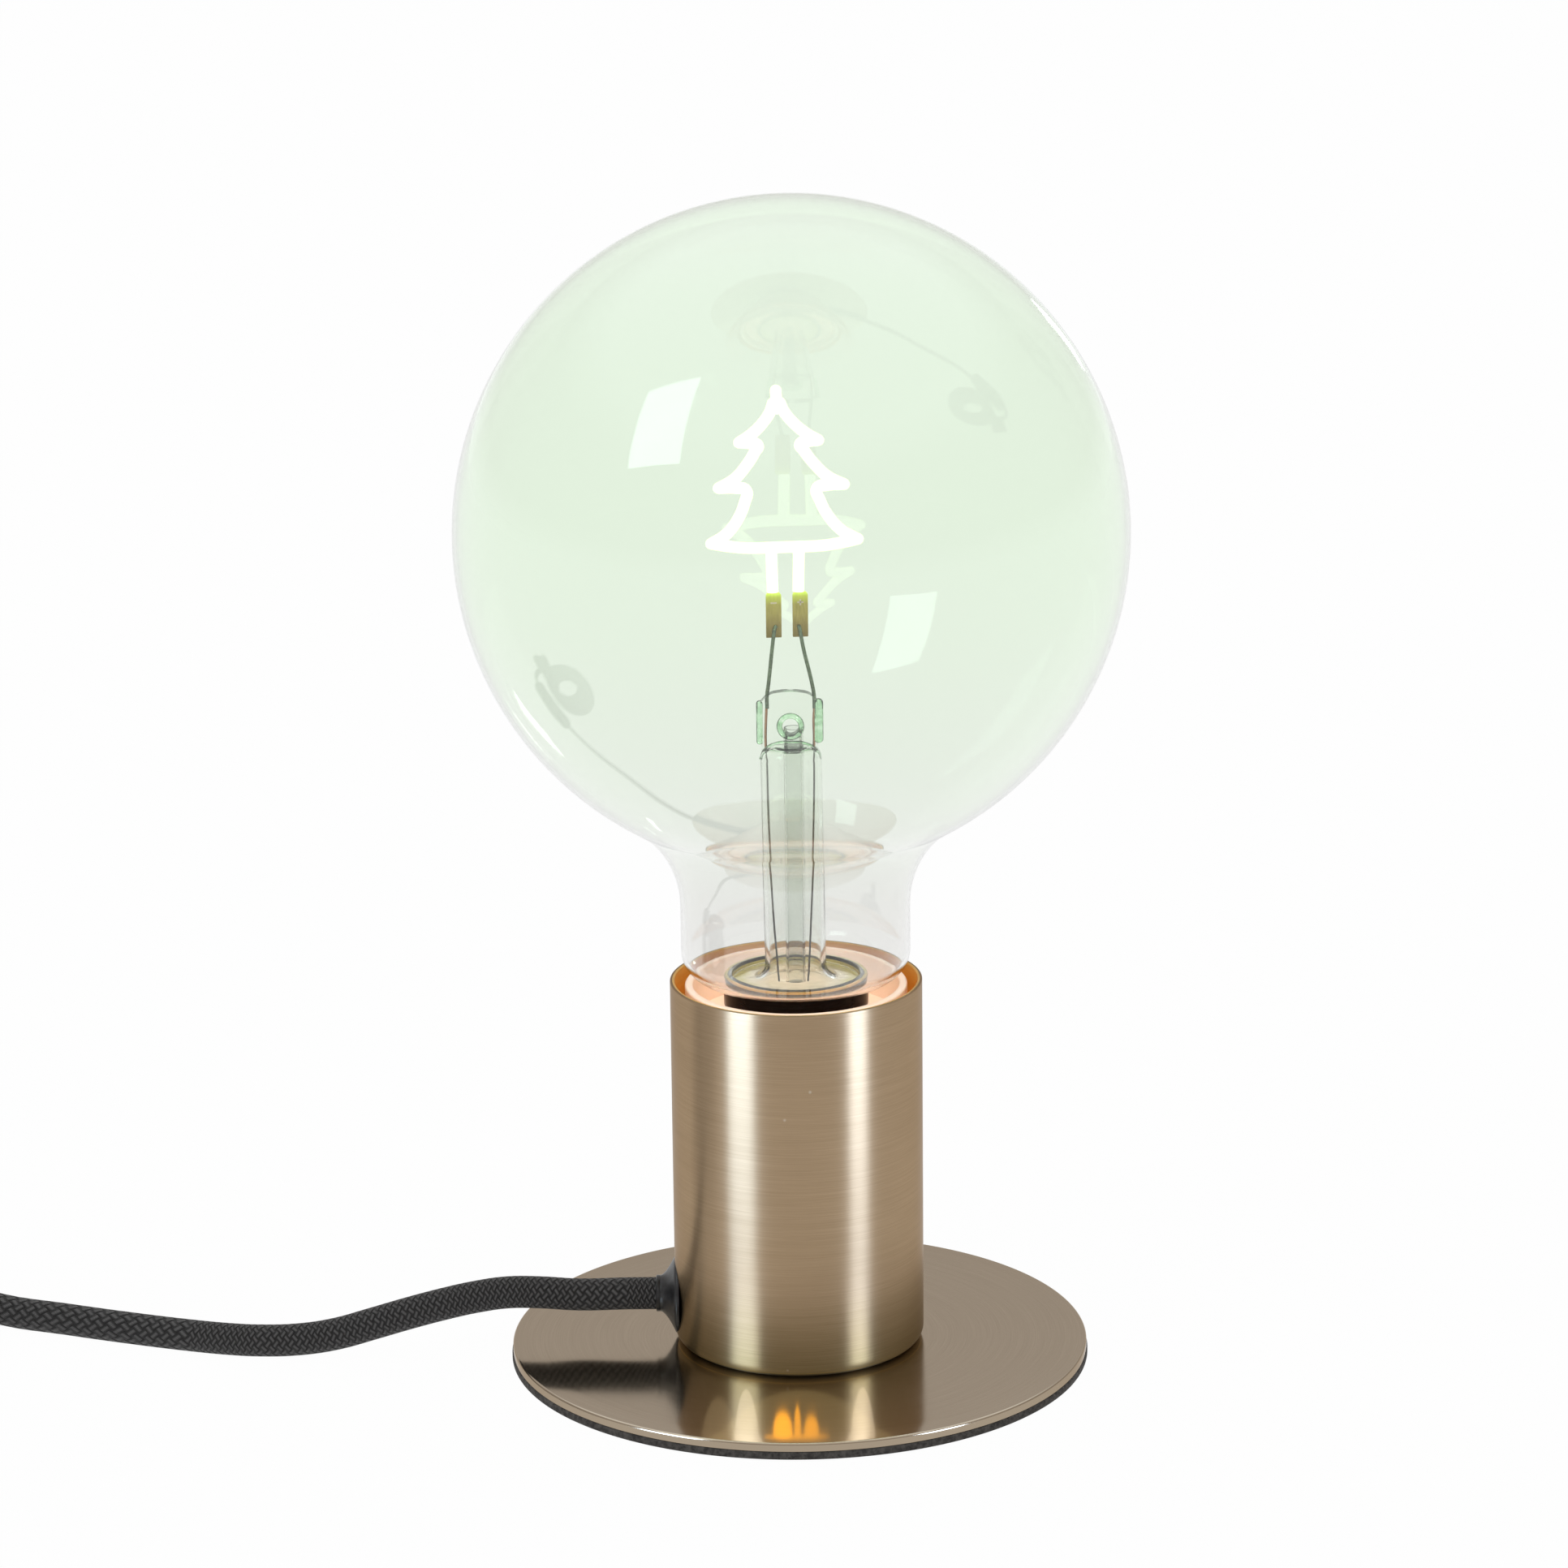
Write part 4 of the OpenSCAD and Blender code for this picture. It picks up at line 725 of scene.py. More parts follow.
def makeTabGold():
    t = tabLook
    material, tree, shader = newMaterial("tabGold", **t["body"])
    place = objectPlace(tree)
    lines = brushed(tree, place, t["stretch"])
    plating = twoTones(tree, lines["Shade"], t["dark"], t["light"])
    foot = heightShare(tree, place, *t["shadedFootHeights"])
    # painted shade towards the tab's foot
    feed(tree, mixColours(tree, foot, withAlpha(t["shadedFootTone"]), plating), shader, "Base Color")
    # painted glow of the filament on the tab's top
    glow = rampNode(tree, heightShare(tree, place, *t["glowHeights"]), t["glow"])
    feed(tree, glow, shader, "Emission Color")
    addBump(tree, shader, lines["Height"], t["relief"], lineDepth)
    return material


filamentLook = {
    "strength": 1.8, "skin": (0.9, 0.95, 0.7),
    "glowDark": (0.80, 1.0, 0.74), "glowLight": (0.92, 1.0, 0.86), "edge": (0.38, 0.56, 0.22),
    "edgeFrom": 0.3, "edgeTo": 0.8,  # how far the surface turns away
    "grains": {"scale": 900.0, "detail": 2.0},
}


def makeFilamentLight():
    f = filamentLook
    material, tree, shader = newMaterial(
        "filamentLight", Roughness=0.55, Emission_Strength=f["strength"], Base_Color=withAlpha(f["skin"]))
    grains = noiseNode(tree, objectPlace(tree), **f["grains"])
    glow = twoTones(tree, grains, f["glowDark"], f["glowLight"])
    facing = addNode(tree, "ShaderNodeLayerWeight").outputs["Facing"]
    edge = rampNode(tree, facing, [(f["edgeFrom"], (0, 0, 0)), (f["edgeTo"], (1, 1, 1))])
    feed(tree, mixColours(tree, edge, glow, withAlpha(f["edge"])), shader, "Emission Color")
    return material


finishes = {slot: makeMoulded(**look) for slot, look in mouldedLooks.items()}
finishes.update({slot: makeMetal(**look) for slot, look in metalLooks.items()})
finishes.update({slot: makeStemGlass(**look) for slot, look in stemGlassLooks.items()})
finishes.update({
    "plate_brass": makePlateBrass(),
    "cup_brass": makeCupBrass(),
    "porcelain": makePorcelain(),
    "globe_glass": makeGlobeGlass(),
    "tab_gold": makeTabGold(),
    "filament_light": makeFilamentLight(),
    "cap_nickel": makeCapNickel(),
    "cement_yellow": makeCement(),
    "cord_textile": makeCordBraid("cordBraidInner", 8.0, 6.0),
})
# finishes that share another one's slot in the record
print("finishes made:", len(finishes))


# CAD pieces keep their meshes; modifiers give them smooth shading

slotOf = {entry["node"]: entry["material_slot"] for entry in frame["record"]["subparts"]}
weldReach = 0.000002  # metres
sharpAngle = 34  # degrees


def makeSmoothing():
    group = bpy.data.node_groups.new("smoothFaces", "GeometryNodeTree")
    group.interface.new_socket("Geometry", in_out="INPUT", socket_type="NodeSocketGeometry")
    group.interface.new_socket("Geometry", in_out="OUTPUT", socket_type="NodeSocketGeometry")
    put, get = addNode(group, "NodeGroupInput"), addNode(group, "NodeGroupOutput")
    smooth = addNode(group, "GeometryNodeSetShadeSmooth")
    group.links.new(put.outputs[0], smooth.inputs["Geometry"])
    group.links.new(smooth.outputs[0], get.inputs[0])
    return group


smoothing = makeSmoothing()


def dressNode(name):
    piece = nodes[name]
    for slot in piece.material_slots:
        slot.material = finishes[slotOf[name]]
    piece.modifiers.new("weld", "WELD").merge_threshold = weldReach
    piece.modifiers.new("smoothFaces", "NODES").node_group = smoothing
    piece.modifiers.new("sharpEdges", "EDGE_SPLIT").split_angle = math.radians(sharpAngle)


for name in nodes:
    dressNode(name)
print("CAD pieces dressed")


# Modelling helpers

mergeReach = 0.000001  # metres


# Every new piece gets its finish and its body here, and the nodes that it replaces are hidden
def addPiece(name, data, finish, body, replaced):
    data.materials.append(finish)
    piece = addObject(name, data)
    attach(piece, body)
    if replaced:
        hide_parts(*replaced)
    return piece


def newPiece(name, bm, slot, body, replaced=(), sharp=35):
    bmesh.ops.remove_doubles(bm, verts=bm.verts, dist=mergeReach)
    bmesh.ops.recalc_face_normals(bm, faces=bm.faces)
    mesh = bpy.data.meshes.new(name)
    bm.to_mesh(mesh)
    bm.free()
    mesh.shade_smooth()
    mesh.set_sharp_from_angle(angle=math.radians(sharp))
    return addPiece(name, mesh, finishes[slot], body, replaced)


# One curve object with a smooth round tube through each line of (place, thickness share)
def newTube(name, lines, thickness, finish, body, replaced=(), roundness=5, fineness=6):
    data = bpy.data.curves.new(name, "CURVE")
    data.dimensions = "3D"
    data.bevel_depth = thickness / 2 * mm
    data.bevel_resolution = roundness
    data.use_fill_caps = True
    data.resolution_u = fineness
    for points in lines:
        spline = data.splines.new("BEZIER")
        spline.bezier_points.add(len(points) - 1)
        for knot, (place, share) in zip(spline.bezier_points, points):
            knot.co = place
            knot.radius = share
            knot.handle_left_type = knot.handle_right_type = "AUTO"
    return addPiece(name, data, finish, body, replaced)


def evenLine(points):
    return [(Vector(point) * mm, 1) for point in points]


# Draws a profile in the XZ plane. A step is either the x and z that a line goes to, or the x and z
# that an arc turns about with its degrees, from +Z towards +X, and its segments.
def drawProfile(bm, start, *steps, closed=True):
    first = last = bm.verts.new((start[0] * mm, 0, start[1] * mm))
    for x, z, *arc in steps:
        if arc:
            degrees, segments = arc
            swung = bmesh.ops.spin(
                bm, geom=[last], cent=(x * mm, 0, z * mm), axis=(0, 1, 0), dvec=(0, 0, 0),
                angle=math.radians(degrees), steps=segments, use_duplicate=False)
            last = swung["geom_last"][0]
        else:
            end = bm.verts.new((x * mm, 0, z * mm))
            bm.edges.new((last, end))
            last = end
    if closed:
        bm.edges.new((last, first))
    return last


def turnRound(bm, axis, steps):
    bmesh.ops.spin(
        bm, geom=list(bm.verts) + list(bm.edges), cent=(0, 0, 0), axis=axis, dvec=(0, 0, 0),
        angle=math.tau, steps=steps, use_merge=True)


# Turns the whole profile once round Z
def lathe(bm, steps):
    turnRound(bm, (0, 0, 1), steps)
    bmesh.ops.remove_doubles(bm, verts=bm.verts, dist=mergeReach)


# Corners are x, z and the length cut off each side to round them; a hole is x, z and radius
def outlineFaces(bm, corners, hole=None):
    verts = [bm.verts.new((x * mm, 0, z * mm)) for x, z, _ in corners]
    bm.faces.new(verts)
    for vert, (_, _, cut) in zip(verts, corners):
        bmesh.ops.bevel(
            bm, geom=[vert], offset=cut * mm, offset_type="OFFSET", segments=4, profile=0.5,
            affect="VERTICES", material=-1)
    if hole:
        x, z, radius = hole
        bmesh.ops.delete(bm, geom=list(bm.faces), context="FACES_ONLY")
        turn = Matrix.Translation((x * mm, 0, z * mm)) @ Matrix.Rotation(math.pi / 2, 4, "X")
        bmesh.ops.create_circle(bm, radius=radius * mm, segments=32, matrix=turn)
        bmesh.ops.triangle_fill(bm, use_beauty=True, use_dissolve=False, edges=list(bm.edges))


# Gives flat faces in the XZ plane a thickness, half to the front and half to the back
def thicken(bm, thickness):
    raised = bmesh.ops.extrude_face_region(bm, geom=list(bm.faces), use_keep_orig=True)
    top = [item for item in raised["geom"] if isinstance(item, bmesh.types.BMVert)]
    bmesh.ops.translate(bm, verts=top, vec=(0, thickness * mm, 0))
    bmesh.ops.translate(bm, verts=bm.verts, vec=(0, -thickness / 2 * mm, 0))


# Base plate and pad

baseShape = {
    "radius": 55.0, "hole": 5.05, "bottom": 1.5, "top": 3.2, "edge": 0.5, "lowerEdge": 0.1,
    "topRings": (50.0, 40.0, 30.0, 20.0),  # keep the wide top from shading as one fan
    "padRadius": 55.2, "padHole": 9.8, "padEdge": 0.4, "steps": 256,
}


def buildBase():
    s = baseShape
    r, bottom, top, e, low = s["radius"], s["bottom"], s["top"], s["edge"], s["lowerEdge"]
    bm = bmesh.new()
    drawProfile(
        bm, (s["hole"], bottom), (r - low, bottom), (r, bottom + low), (r, top - e), (r - e, top - e, -90, 8),
        *[(ring, top) for ring in s["topRings"]], (s["hole"], top))
    lathe(bm, s["steps"])
    plate = newPiece("basePlate", bm, "plate_brass", "lamp", ["base_plate"])

    bm = bmesh.new()
    r, e = s["padRadius"], s["padEdge"]
    drawProfile(
        bm, (s["padHole"], 0), (r - e, 0), (r - e, e, -90, 4), (r, bottom - e), (r - e, bottom - e, -90, 4),
        (s["padHole"], bottom))
    lathe(bm, s["steps"])
    newPiece("basePad", bm, "pad_foam", "lamp", ["base_pad"])
    return plate


basePlate = buildBase()
print("base built")


# Cup

cupShape = {
    "radius": 23.8, "wall": 0.9, "bottom": 3.2, "top": 74.8, "floor": 1.0,
    "hole": 5.05, "foot": 2.4, "lip": 0.2, "steps": 192,
}


def buildCup():
    s = cupShape
    r, inner, foot, lip = s["radius"], s["radius"] - s["wall"], s["foot"], s["lip"]
    bottom, lipUp = s["bottom"], s["top"] - s["lip"]
    floorTop, footIn = bottom + s["floor"], foot - s["wall"]
    bm = bmesh.new()
    drawProfile(
        bm, (s["hole"], bottom), (r - foot, bottom), (r - foot, bottom + foot, -90, 8), (r, lipUp),
        (r - lip, lipUp, -90, 4), (inner + lip, s["top"]), (inner + lip, lipUp, -90, 4),
        (inner, floorTop + footIn), (inner - footIn, floorTop + footIn, 90, 6), (s["hole"], floorTop))
    lathe(bm, s["steps"])
    return newPiece("brassCup", bm, "cup_brass", "lamp", ["cup"])


brassCup = buildCup()
print("cup built")


# Cord entry: a smooth trumpet with a thin bead at the cord; x is across the cord and z along it

entryShape = {
    "height": 11.8, "bore": 3.15, "back": 20.5, "neck": 4.8, "seat": 22.95,
    "flange": 7.65, "flangeThick": 0.7, "flangeBulge": 0.05, "flangeRound": 0.15,
    "trumpet": 26.6, "mouth": 3.45, "curve": 1.6,
    "curveStops": (0.12, 0.25, 0.38, 0.5, 0.62, 0.74, 0.86, 1.0),
    "bead": 3.5, "beadRise": 0.1, "beadRound": 0.12, "tip": 27.4, "steps": 72,
}


def buildEntry():
    s = entryShape
    wide, foot = s["flange"] - s["flangeRound"], s["seat"] + s["flangeThick"]
    narrowing = [
        (wide - (wide - s["mouth"]) * (1 - (1 - share) ** s["curve"]), foot + (s["trumpet"] - foot) * share)
        for share in s["curveStops"]]
    bm = bmesh.new()
    drawProfile(
        bm, (s["bore"], s["back"]), (s["neck"], s["back"]), (s["neck"], s["seat"]), (s["flange"], s["seat"]),
        (s["flange"] + s["flangeBulge"], s["seat"] + s["flangeThick"] / 2), (wide, foot), *narrowing,
        (s["bead"], s["trumpet"] + s["beadRise"]), (s["bead"], s["tip"] - s["beadRise"]),
        (s["bead"] - s["beadRound"], s["tip"]), (s["bore"], s["tip"]))
    lathe(bm, s["steps"])
    onAxis = Matrix.Translation((0, 0, s["height"] * mm)) @ Matrix.Rotation(-math.pi / 2, 4, "Y")
    bmesh.ops.transform(bm, matrix=onAxis, verts=bm.verts)
    newPiece("cordEntry", bm, "grommet_black", "lamp", ["cord_grommet"], 40)


buildEntry()
print("cord entry built")


# Lampholder skirt, of which the rim shows inside the cup

skirtShape = {
    "radius": 21.0, "inner": 19.4, "bottom": 37.8, "top": 74.1, "round": 0.5,
    "shelfTop": 67.3, "shelfBottom": 65.9, "shelfInner": 13.25, "steps": 128,
}


def buildSkirt():
    s = skirtShape
    r, inner, e, roundUp = s["radius"], s["inner"], s["round"], s["top"] - s["round"]
    bm = bmesh.new()
    drawProfile(
        bm, (inner, s["bottom"]), (r, s["bottom"]), (r, roundUp), (r - e, roundUp, -90, 5),
        (inner + e, s["top"]), (inner + e, roundUp, -90, 5), (inner, s["shelfTop"]),
        (s["shelfInner"], s["shelfTop"]), (s["shelfInner"], s["shelfBottom"]), (inner, s["shelfBottom"]))
    lathe(bm, s["steps"])
    return newPiece("lampholderSkirt", bm, "porcelain", "lamp", ["holder_skirt"])


lampholderSkirt = buildSkirt()
print("lampholder built")


# Bulb: glass, tree, stem, wires, tabs and cement

bulbShape = {
    "globe": 62.5, "centre": 160.6, "neck": 21.6, "shoulder": 20.0, "bottom": 75.2,
    "bowl": 5.6, "wall": 0.8, "collar": 12.9, "collarDepth": 4.2, "steps": 192,
}


# Half section of one face of the glass, from the crown down to the collar
def glassProfile(bm, depth):
    s = bulbShape
    neck, bowl, collar = s["neck"] - depth, s["bowl"] - depth, s["collar"] - depth
    hollow = s["neck"] + s["shoulder"]  # the shoulder's curve turns about this distance from the axis
    drop = math.sqrt((s["globe"] + s["shoulder"]) ** 2 - hollow ** 2)
    lean = math.degrees(math.atan2(hollow, drop))
    return drawProfile(
        bm, (0, s["centre"] + s["globe"] - depth), (0, s["centre"], 180 - lean, 96),
        (hollow, s["centre"] - drop, lean - 90, 20), (neck, s["bottom"] + s["bowl"]),
        (neck - bowl, s["bottom"] + s["bowl"], 90, 12), (collar, s["bottom"] + depth),
        (collar, s["bottom"] - s["collarDepth"]), closed=False)


def buildGlobe():
    bm = bmesh.new()
    outerEnd, innerEnd = glassProfile(bm, 0), glassProfile(bm, bulbShape["wall"])
    bm.edges.new((innerEnd, outerEnd))
    lathe(bm, bulbShape["steps"])
    return newPiece("globeGlass", bm, "globe_glass", "bulb", ["bulb_glass"], 60)


globeGlass = buildGlobe()

treeShape = {
    "thickness": 2.2, "height": 29.4, "halfWidth": 13.6, "shift": 1.2, "lean": 1.4,
    "turn": 6.0, "bar": 158.1, "leg": 8.4, "footHalf": 2.4,
    # shares of the half width and the height along each limb, as in the source
    "limbs": {
        "leg": [(0.2, 0), (0.45, 0), (0.72, 0.012), (1, 0.037)],
        "low": [(1, 0.037), (0.79, 0.095), (0.62, 0.187), (0.515, 0.289), (0.48, 0.371), (0.62, 0.388),
                (0.853, 0.391)],
        "middle": [(0.853, 0.391), (0.632, 0.446), (0.456, 0.531), (0.324, 0.619), (0.283, 0.653),
                   (0.38, 0.67), (0.537, 0.677)],
        "top": [(0.537, 0.677), (0.375, 0.724), (0.199, 0.799), (0.09, 0.87), (0.05, 0.92)],
    },
    "spire": [(0, 0.885), (0, 0.94), (0, 1)],
    "foot": [(-0.26, 0), (0, 0), (0.26, 0)],
    "legBend": [(0.1, -4), (0.2, 0.3)],  # aside from the foot and up, in millimetres
    # out beyond a limb's end in radii, and the share of its thickness there
    "tip": [(0.3, 0.95), (0.7, 0.7), (0.95, 0.3)],
}


def onTree(side, across, up):
    s = treeShape
    x = side * across - s["shift"] - s["lean"] * max(up, 0) / s["height"]
    turn = math.radians(s["turn"])
    return Vector((x * math.cos(turn), x * math.sin(turn), s["bar"] + up)) * mm


def treeLimb(side, shares):
    s = treeShape
    points = [onTree(side, u * s["halfWidth"], v * s["height"]) for u, v in shares]
    radius = s["thickness"] / 2 * mm
    before = (points[0] - points[1]).normalized() * radius
    after = (points[-1] - points[-2]).normalized() * radius
    return (
        [(points[0] + before * out, share) for out, share in reversed(s["tip"])]
        + [(point, 1) for point in points]
        + [(points[-1] + after * out, share) for out, share in s["tip"]])


def buildTree():
    s = treeShape
    lines = [treeLimb(side, shares) for side in (-1, 1) for shares in s["limbs"].values()]
    lines += [treeLimb(1, s["spire"]), treeLimb(1, s["foot"])]
    for side in (-1, 1):
        leg = [(0, -s["leg"])] + s["legBend"]
        lines.append([(onTree(side, s["footHalf"] + aside, up), 1) for aside, up in leg])
    slot = "filament_light"
    newTube("treeFilament", lines, s["thickness"], finishes[slot], "bulb", ["filament"])


buildTree()


# Wires or thin rods of the bulb through points in millimetres, as one piece
def wirePiece(name, lines, thickness, slot, *replaced):
    tubes = [evenLine(line) for line in lines]
    newTube(name, tubes, thickness, finishes[slot], "bulb", replaced, roundness=4)


stemShape = {
    "radius": 5.75, "wall": 0.9, "seal": 74.0, "flare": 12.0, "sweep": 3.0, "shoulder": 117.8, "crown": 2.6,
    "lean": 0.0115,  # millimetres to the left for each one up
    "steps": 64,
    # corners of the press: x, z and the length that rounds them
    "press": [(-5.9, 119.2, 0.3), (-6.2, 128.6, 0.4), (-4.6, 130.3, 1.0), (-0.7, 131.0, 2.4),
              (3.2, 130.3, 1.0), (4.7, 128.6, 0.4), (4.5, 119.2, 0.3)],
    "pressThickness": 2.2, "pressEdge": 0.55,
    "eye": (-0.55, 124.1), "eyeRadius": 1.7, "eyeRing": 0.55, "eyeClearance": 0.35,
    "ears": [(-6.3, 120.4, 128.9, 0.62), (4.75, 120.6, 129.2, 0.85)],  # x, low, high and radius
    "sealLine": [(-6.2, 0, 117.6), (-5.4, -0.6, 119.6), (-3.4, -1.2, 120.9), (-0.7, -1.3, 121.2),
                 (2.1, -1.2, 120.9), (4.1, -0.6, 119.6), (4.9, 0, 117.6)],
    "sealThickness": 0.5,
}


def buildStemTube():
    s = stemShape
    r, w, seal = s["radius"], s["wall"], s["seal"]
    inside, shoulder, crown = r - s["crown"], s["shoulder"], s["shoulder"] + s["crown"]
    flareX, flareZ = r + s["sweep"], seal + w + s["sweep"]  # the flare's curve turns about this point
    bm = bmesh.new()
    drawProfile(
        bm, (0, crown), (inside, crown), (inside, shoulder, 90, 8), (r, flareZ), (flareX, flareZ, -90, 8),
        (s["flare"], seal + w), (s["flare"], seal), (flareX, seal), (flareX, flareZ, 90, 8),
        (r - w, shoulder), (inside, shoulder, -90, 8), (0, crown - w), closed=False)
    lathe(bm, s["steps"])
    lean = Matrix.Shear("XY", 4, (-s["lean"], 0))
    bmesh.ops.transform(bm, matrix=lean, space=Matrix.Translation((0, 0, -seal * mm)), verts=bm.verts)
    newPiece("stemTube", bm, "stem_glass", "bulb", ["stem_glass"], 60)


def buildStemPress():
    s = stemShape
    eyeX, eyeZ = s["eye"]
    bm = bmesh.new()
    outlineFaces(bm, s["press"], (eyeX, eyeZ, s["eyeRadius"]))
    thicken(bm, s["pressThickness"])
    rounding = newPiece("stemPress", bm, "stem_glass", "bulb").modifiers.new("rounding", "BEVEL")
    rounding.width = s["pressEdge"] * mm
    rounding.segments = 3
    rounding.limit_method = "ANGLE"
    rounding.angle_limit = math.radians(40)

    bm = bmesh.new()
    bmesh.ops.create_circle(bm, radius=s["eyeRing"] * mm, segments=12)
    bmesh.ops.translate(bm, verts=bm.verts, vec=((s["eyeRadius"] + s["eyeClearance"]) * mm, 0, 0))
    turnRound(bm, (0, 1, 0), 40)
    bmesh.ops.translate(bm, verts=bm.verts, vec=(eyeX * mm, -s["pressThickness"] / 2 * mm, eyeZ * mm))
    newPiece("stemEyeRing", bm, "seal_glass", "bulb", (), 60)

    for i, (x, low, high, e) in enumerate(s["ears"]):
        bm = bmesh.new()
        drawProfile(bm, (0, high), (0, high - e, 90, 6), (e, low + e), (0, low + e, 90, 6), closed=False)
        lathe(bm, 20)
        bmesh.ops.translate(bm, verts=bm.verts, vec=(x * mm, 0, 0))
        newPiece("stemEar%d" % (i + 1), bm, "seal_glass", "bulb", (), 60)
    wirePiece("stemSealLine", [s["sealLine"]], s["sealThickness"], "seal_glass")


buildStemTube()
buildStemPress()

wireShape = {
    "thickness": 0.72,
    "left": [(-4.85, 0, 127.4), (-4.85, 0, 129.8), (-4.55, -0.05, 132), (-3.75, -0.6, 139.2),
             (-3.45, -0.95, 141.6), (-3.2, -0.72, 142.9), (-2.95, -0.6, 143.3)],
    "right": [(3.95, 0, 127.4), (3.9, 0, 129.8), (3.55, -0.05, 132), (1.95, -0.35, 139.2),
              (1.55, -0.6, 141.6), (1.3, -0.35, 142.9), (1.1, -0.3, 143.3)],
    "sealThickness": 0.5,
    "sealLeft": [(-5.15, 0, 119.4), (-5.2, 0, 122), (-5.1, 0, 125), (-4.95, 0, 127.8)],
    "sealRight": [(3.75, 0, 119.4), (3.85, 0, 122), (3.8, 0, 125), (3.95, 0, 127.8)],
    "stemThickness": 0.36,
    "stemLeft": [(-5.15, 0, 119.6), (-5.05, 0, 116), (-4.95, 0, 110), (-4.6, 0, 98), (-4.05, 0, 86),
                 (-3.4, 0, 77), (-3.2, 0, 74.2), (-3.2, 0, 71)],
    "stemRight": [(3.75, 0, 119.6), (3.8, 0, 116), (3.75, 0, 110), (3.45, 0, 98), (2.95, 0, 86),
                  (2.5, 0, 77), (2.3, 0, 74.2), (2.3, 0, 71)],
}


def buildWires():
    s = wireShape
    wirePiece("treeWires", [s["left"], s["right"]], s["thickness"], "lead_wire", "support_wires")
    wirePiece("stemWires", [s["stemLeft"], s["stemRight"]], s["stemThickness"], "stem_wire", "stem_leads")
    wirePiece("sealWires", [s["sealLeft"], s["sealRight"]], s["sealThickness"], "copper_wire", "seal_leads")


buildWires()

tabShape = {
    "width": 2.85, "height": 8.6, "thickness": 0.6, "topCut": 0.75, "footCut": 0.12,
    "apart": 2.48, "aside": -0.98,
    "gap": 0.05,  # below the tree's feet
    "markUp": 6.6, "markWide": 1.15, "markThick": 0.3, "markDeep": 0.12,
}


# Two tabs, with a minus sign on the left one and a plus sign on the right one
def buildTabs():
    s = tabShape
    top = treeShape["bar"] - treeShape["leg"] - s["gap"]
    half, low, cut, topCut = s["width"] / 2, top - s["height"], s["footCut"], s["topCut"]
    turn = Matrix.Rotation(math.radians(treeShape["turn"]), 4, "Z")
    front = -(s["thickness"] + s["markDeep"]) / 2
    level, upright = (s["markWide"], s["markThick"]), (s["markThick"], s["markWide"])
    marks = bmesh.new()
    for number, side, bars in ((1, -1, [level]), (2, 1, [level, upright])):
        bm = bmesh.new()
        outlineFaces(bm, [(-half, low, cut), (-half, top, topCut), (half, top, topCut), (half, low, cut)])
        thicken(bm, s["thickness"])
        middle = turn @ Matrix.Translation(((side * s["apart"] + s["aside"]) * mm, 0, 0))
        bmesh.ops.transform(bm, matrix=middle, verts=bm.verts)
        newPiece("filamentTab%d" % number, bm, "tab_gold", "bulb", ["filament_tabs"], 30)
        mark = middle @ Matrix.Translation((0, front * mm, (low + s["markUp"]) * mm))
        for wide, high in bars:
            size = Matrix.Diagonal((wide * mm, s["markDeep"] * mm, high * mm, 1))
            bmesh.ops.create_cube(marks, size=1, matrix=mark @ size)
    newPiece("tabMarks", marks, "porcelain", "bulb")


buildTabs()

cementShape = {"hole": 1.9, "radius": 12.0, "top": 73.9, "bottom": 73.0, "steps": 64}


# Seat of cement under the stem's flare
def buildCement():
    s = cementShape
    hole, radius, bottom, top = s["hole"], s["radius"], s["bottom"], s["top"]
    bm = bmesh.new()
    drawProfile(bm, (hole, bottom), (radius, bottom), (radius, top), (hole, top))
    lathe(bm, s["steps"])
    return newPiece("cementBed", bm, "cement_yellow", "bulb")


cementBed = buildCement()
print("bulb built")


# Cord: first from the grommet to the switch, then on to the coil and the plug

cordShape = {
    "diameter": 6.2,
    "start": (-27.4, 0, 11.8),
    "run": [(-33, 0, 11.8), (-42.3, 0.2, 11.6), (-50, 0.3, 12.1), (-56, 0.4, 12.1), (-62, 0.3, 11.3),
            (-68, 0.2, 10), (-75, 0, 8.2), (-82, -0.2, 6.2), (-89, -0.4, 4.3), (-96, -0.5, 3.3),
            (-104, -0.4, 3.1), (-110, 0.6, 3.1), (-116.5, 2.4, 3.1), (-128.7, 6.6, 3.1),
            (-142.5, 12, 3.1), (-156.2, 17.6, 3.2), (-164.5, 21, 4.6), (-171, 23.7, 6.4)],
    "switch": (-177.5, 26.4, 7), "switchHeading": 157.6, "switchLength": 56,
    "link": [(-237.2, 51, 6.9), (-244.8, 52.9, 6.6), (-253.8, 52.2, 6.1), (-262, 48.3, 5.6),
             (-268.4, 41.9, 5.1), (-271.9, 35, 4.7), (-273, 27, 4.3), (-273, 16, 4), (-273, 3, 3.9)],
    "coilMiddle": (-228.4, -18), "coilRadius": 44.6, "coilStep": 6.75, "coilTurns": 3, "coilHeight": 3.9,
    "layerStep": 6.7, "halfLayerTurns": 0.25, "pointsPerTurn": 24,
    "tail": [(-216.4, -60.8, 10.7), (-209.6, -58.6, 11), (-202, -54.4, 11.6), (-194.8, -48, 12.4),
             (-189, -40, 13.2), (-185, -31, 14), (-183.3, -21.6, 14.9), (-184.1, -12, 16.2),
             (-187.2, -2.8, 17.8), (-192.6, 4.6, 19.4), (-199, 9, 20.6), (-205.6, 11.3, 21)],
    "plug": (-212, 12, 21),
    "strandStep": 1.55,  # along the cord
    "strandsAround": 10.0,
}


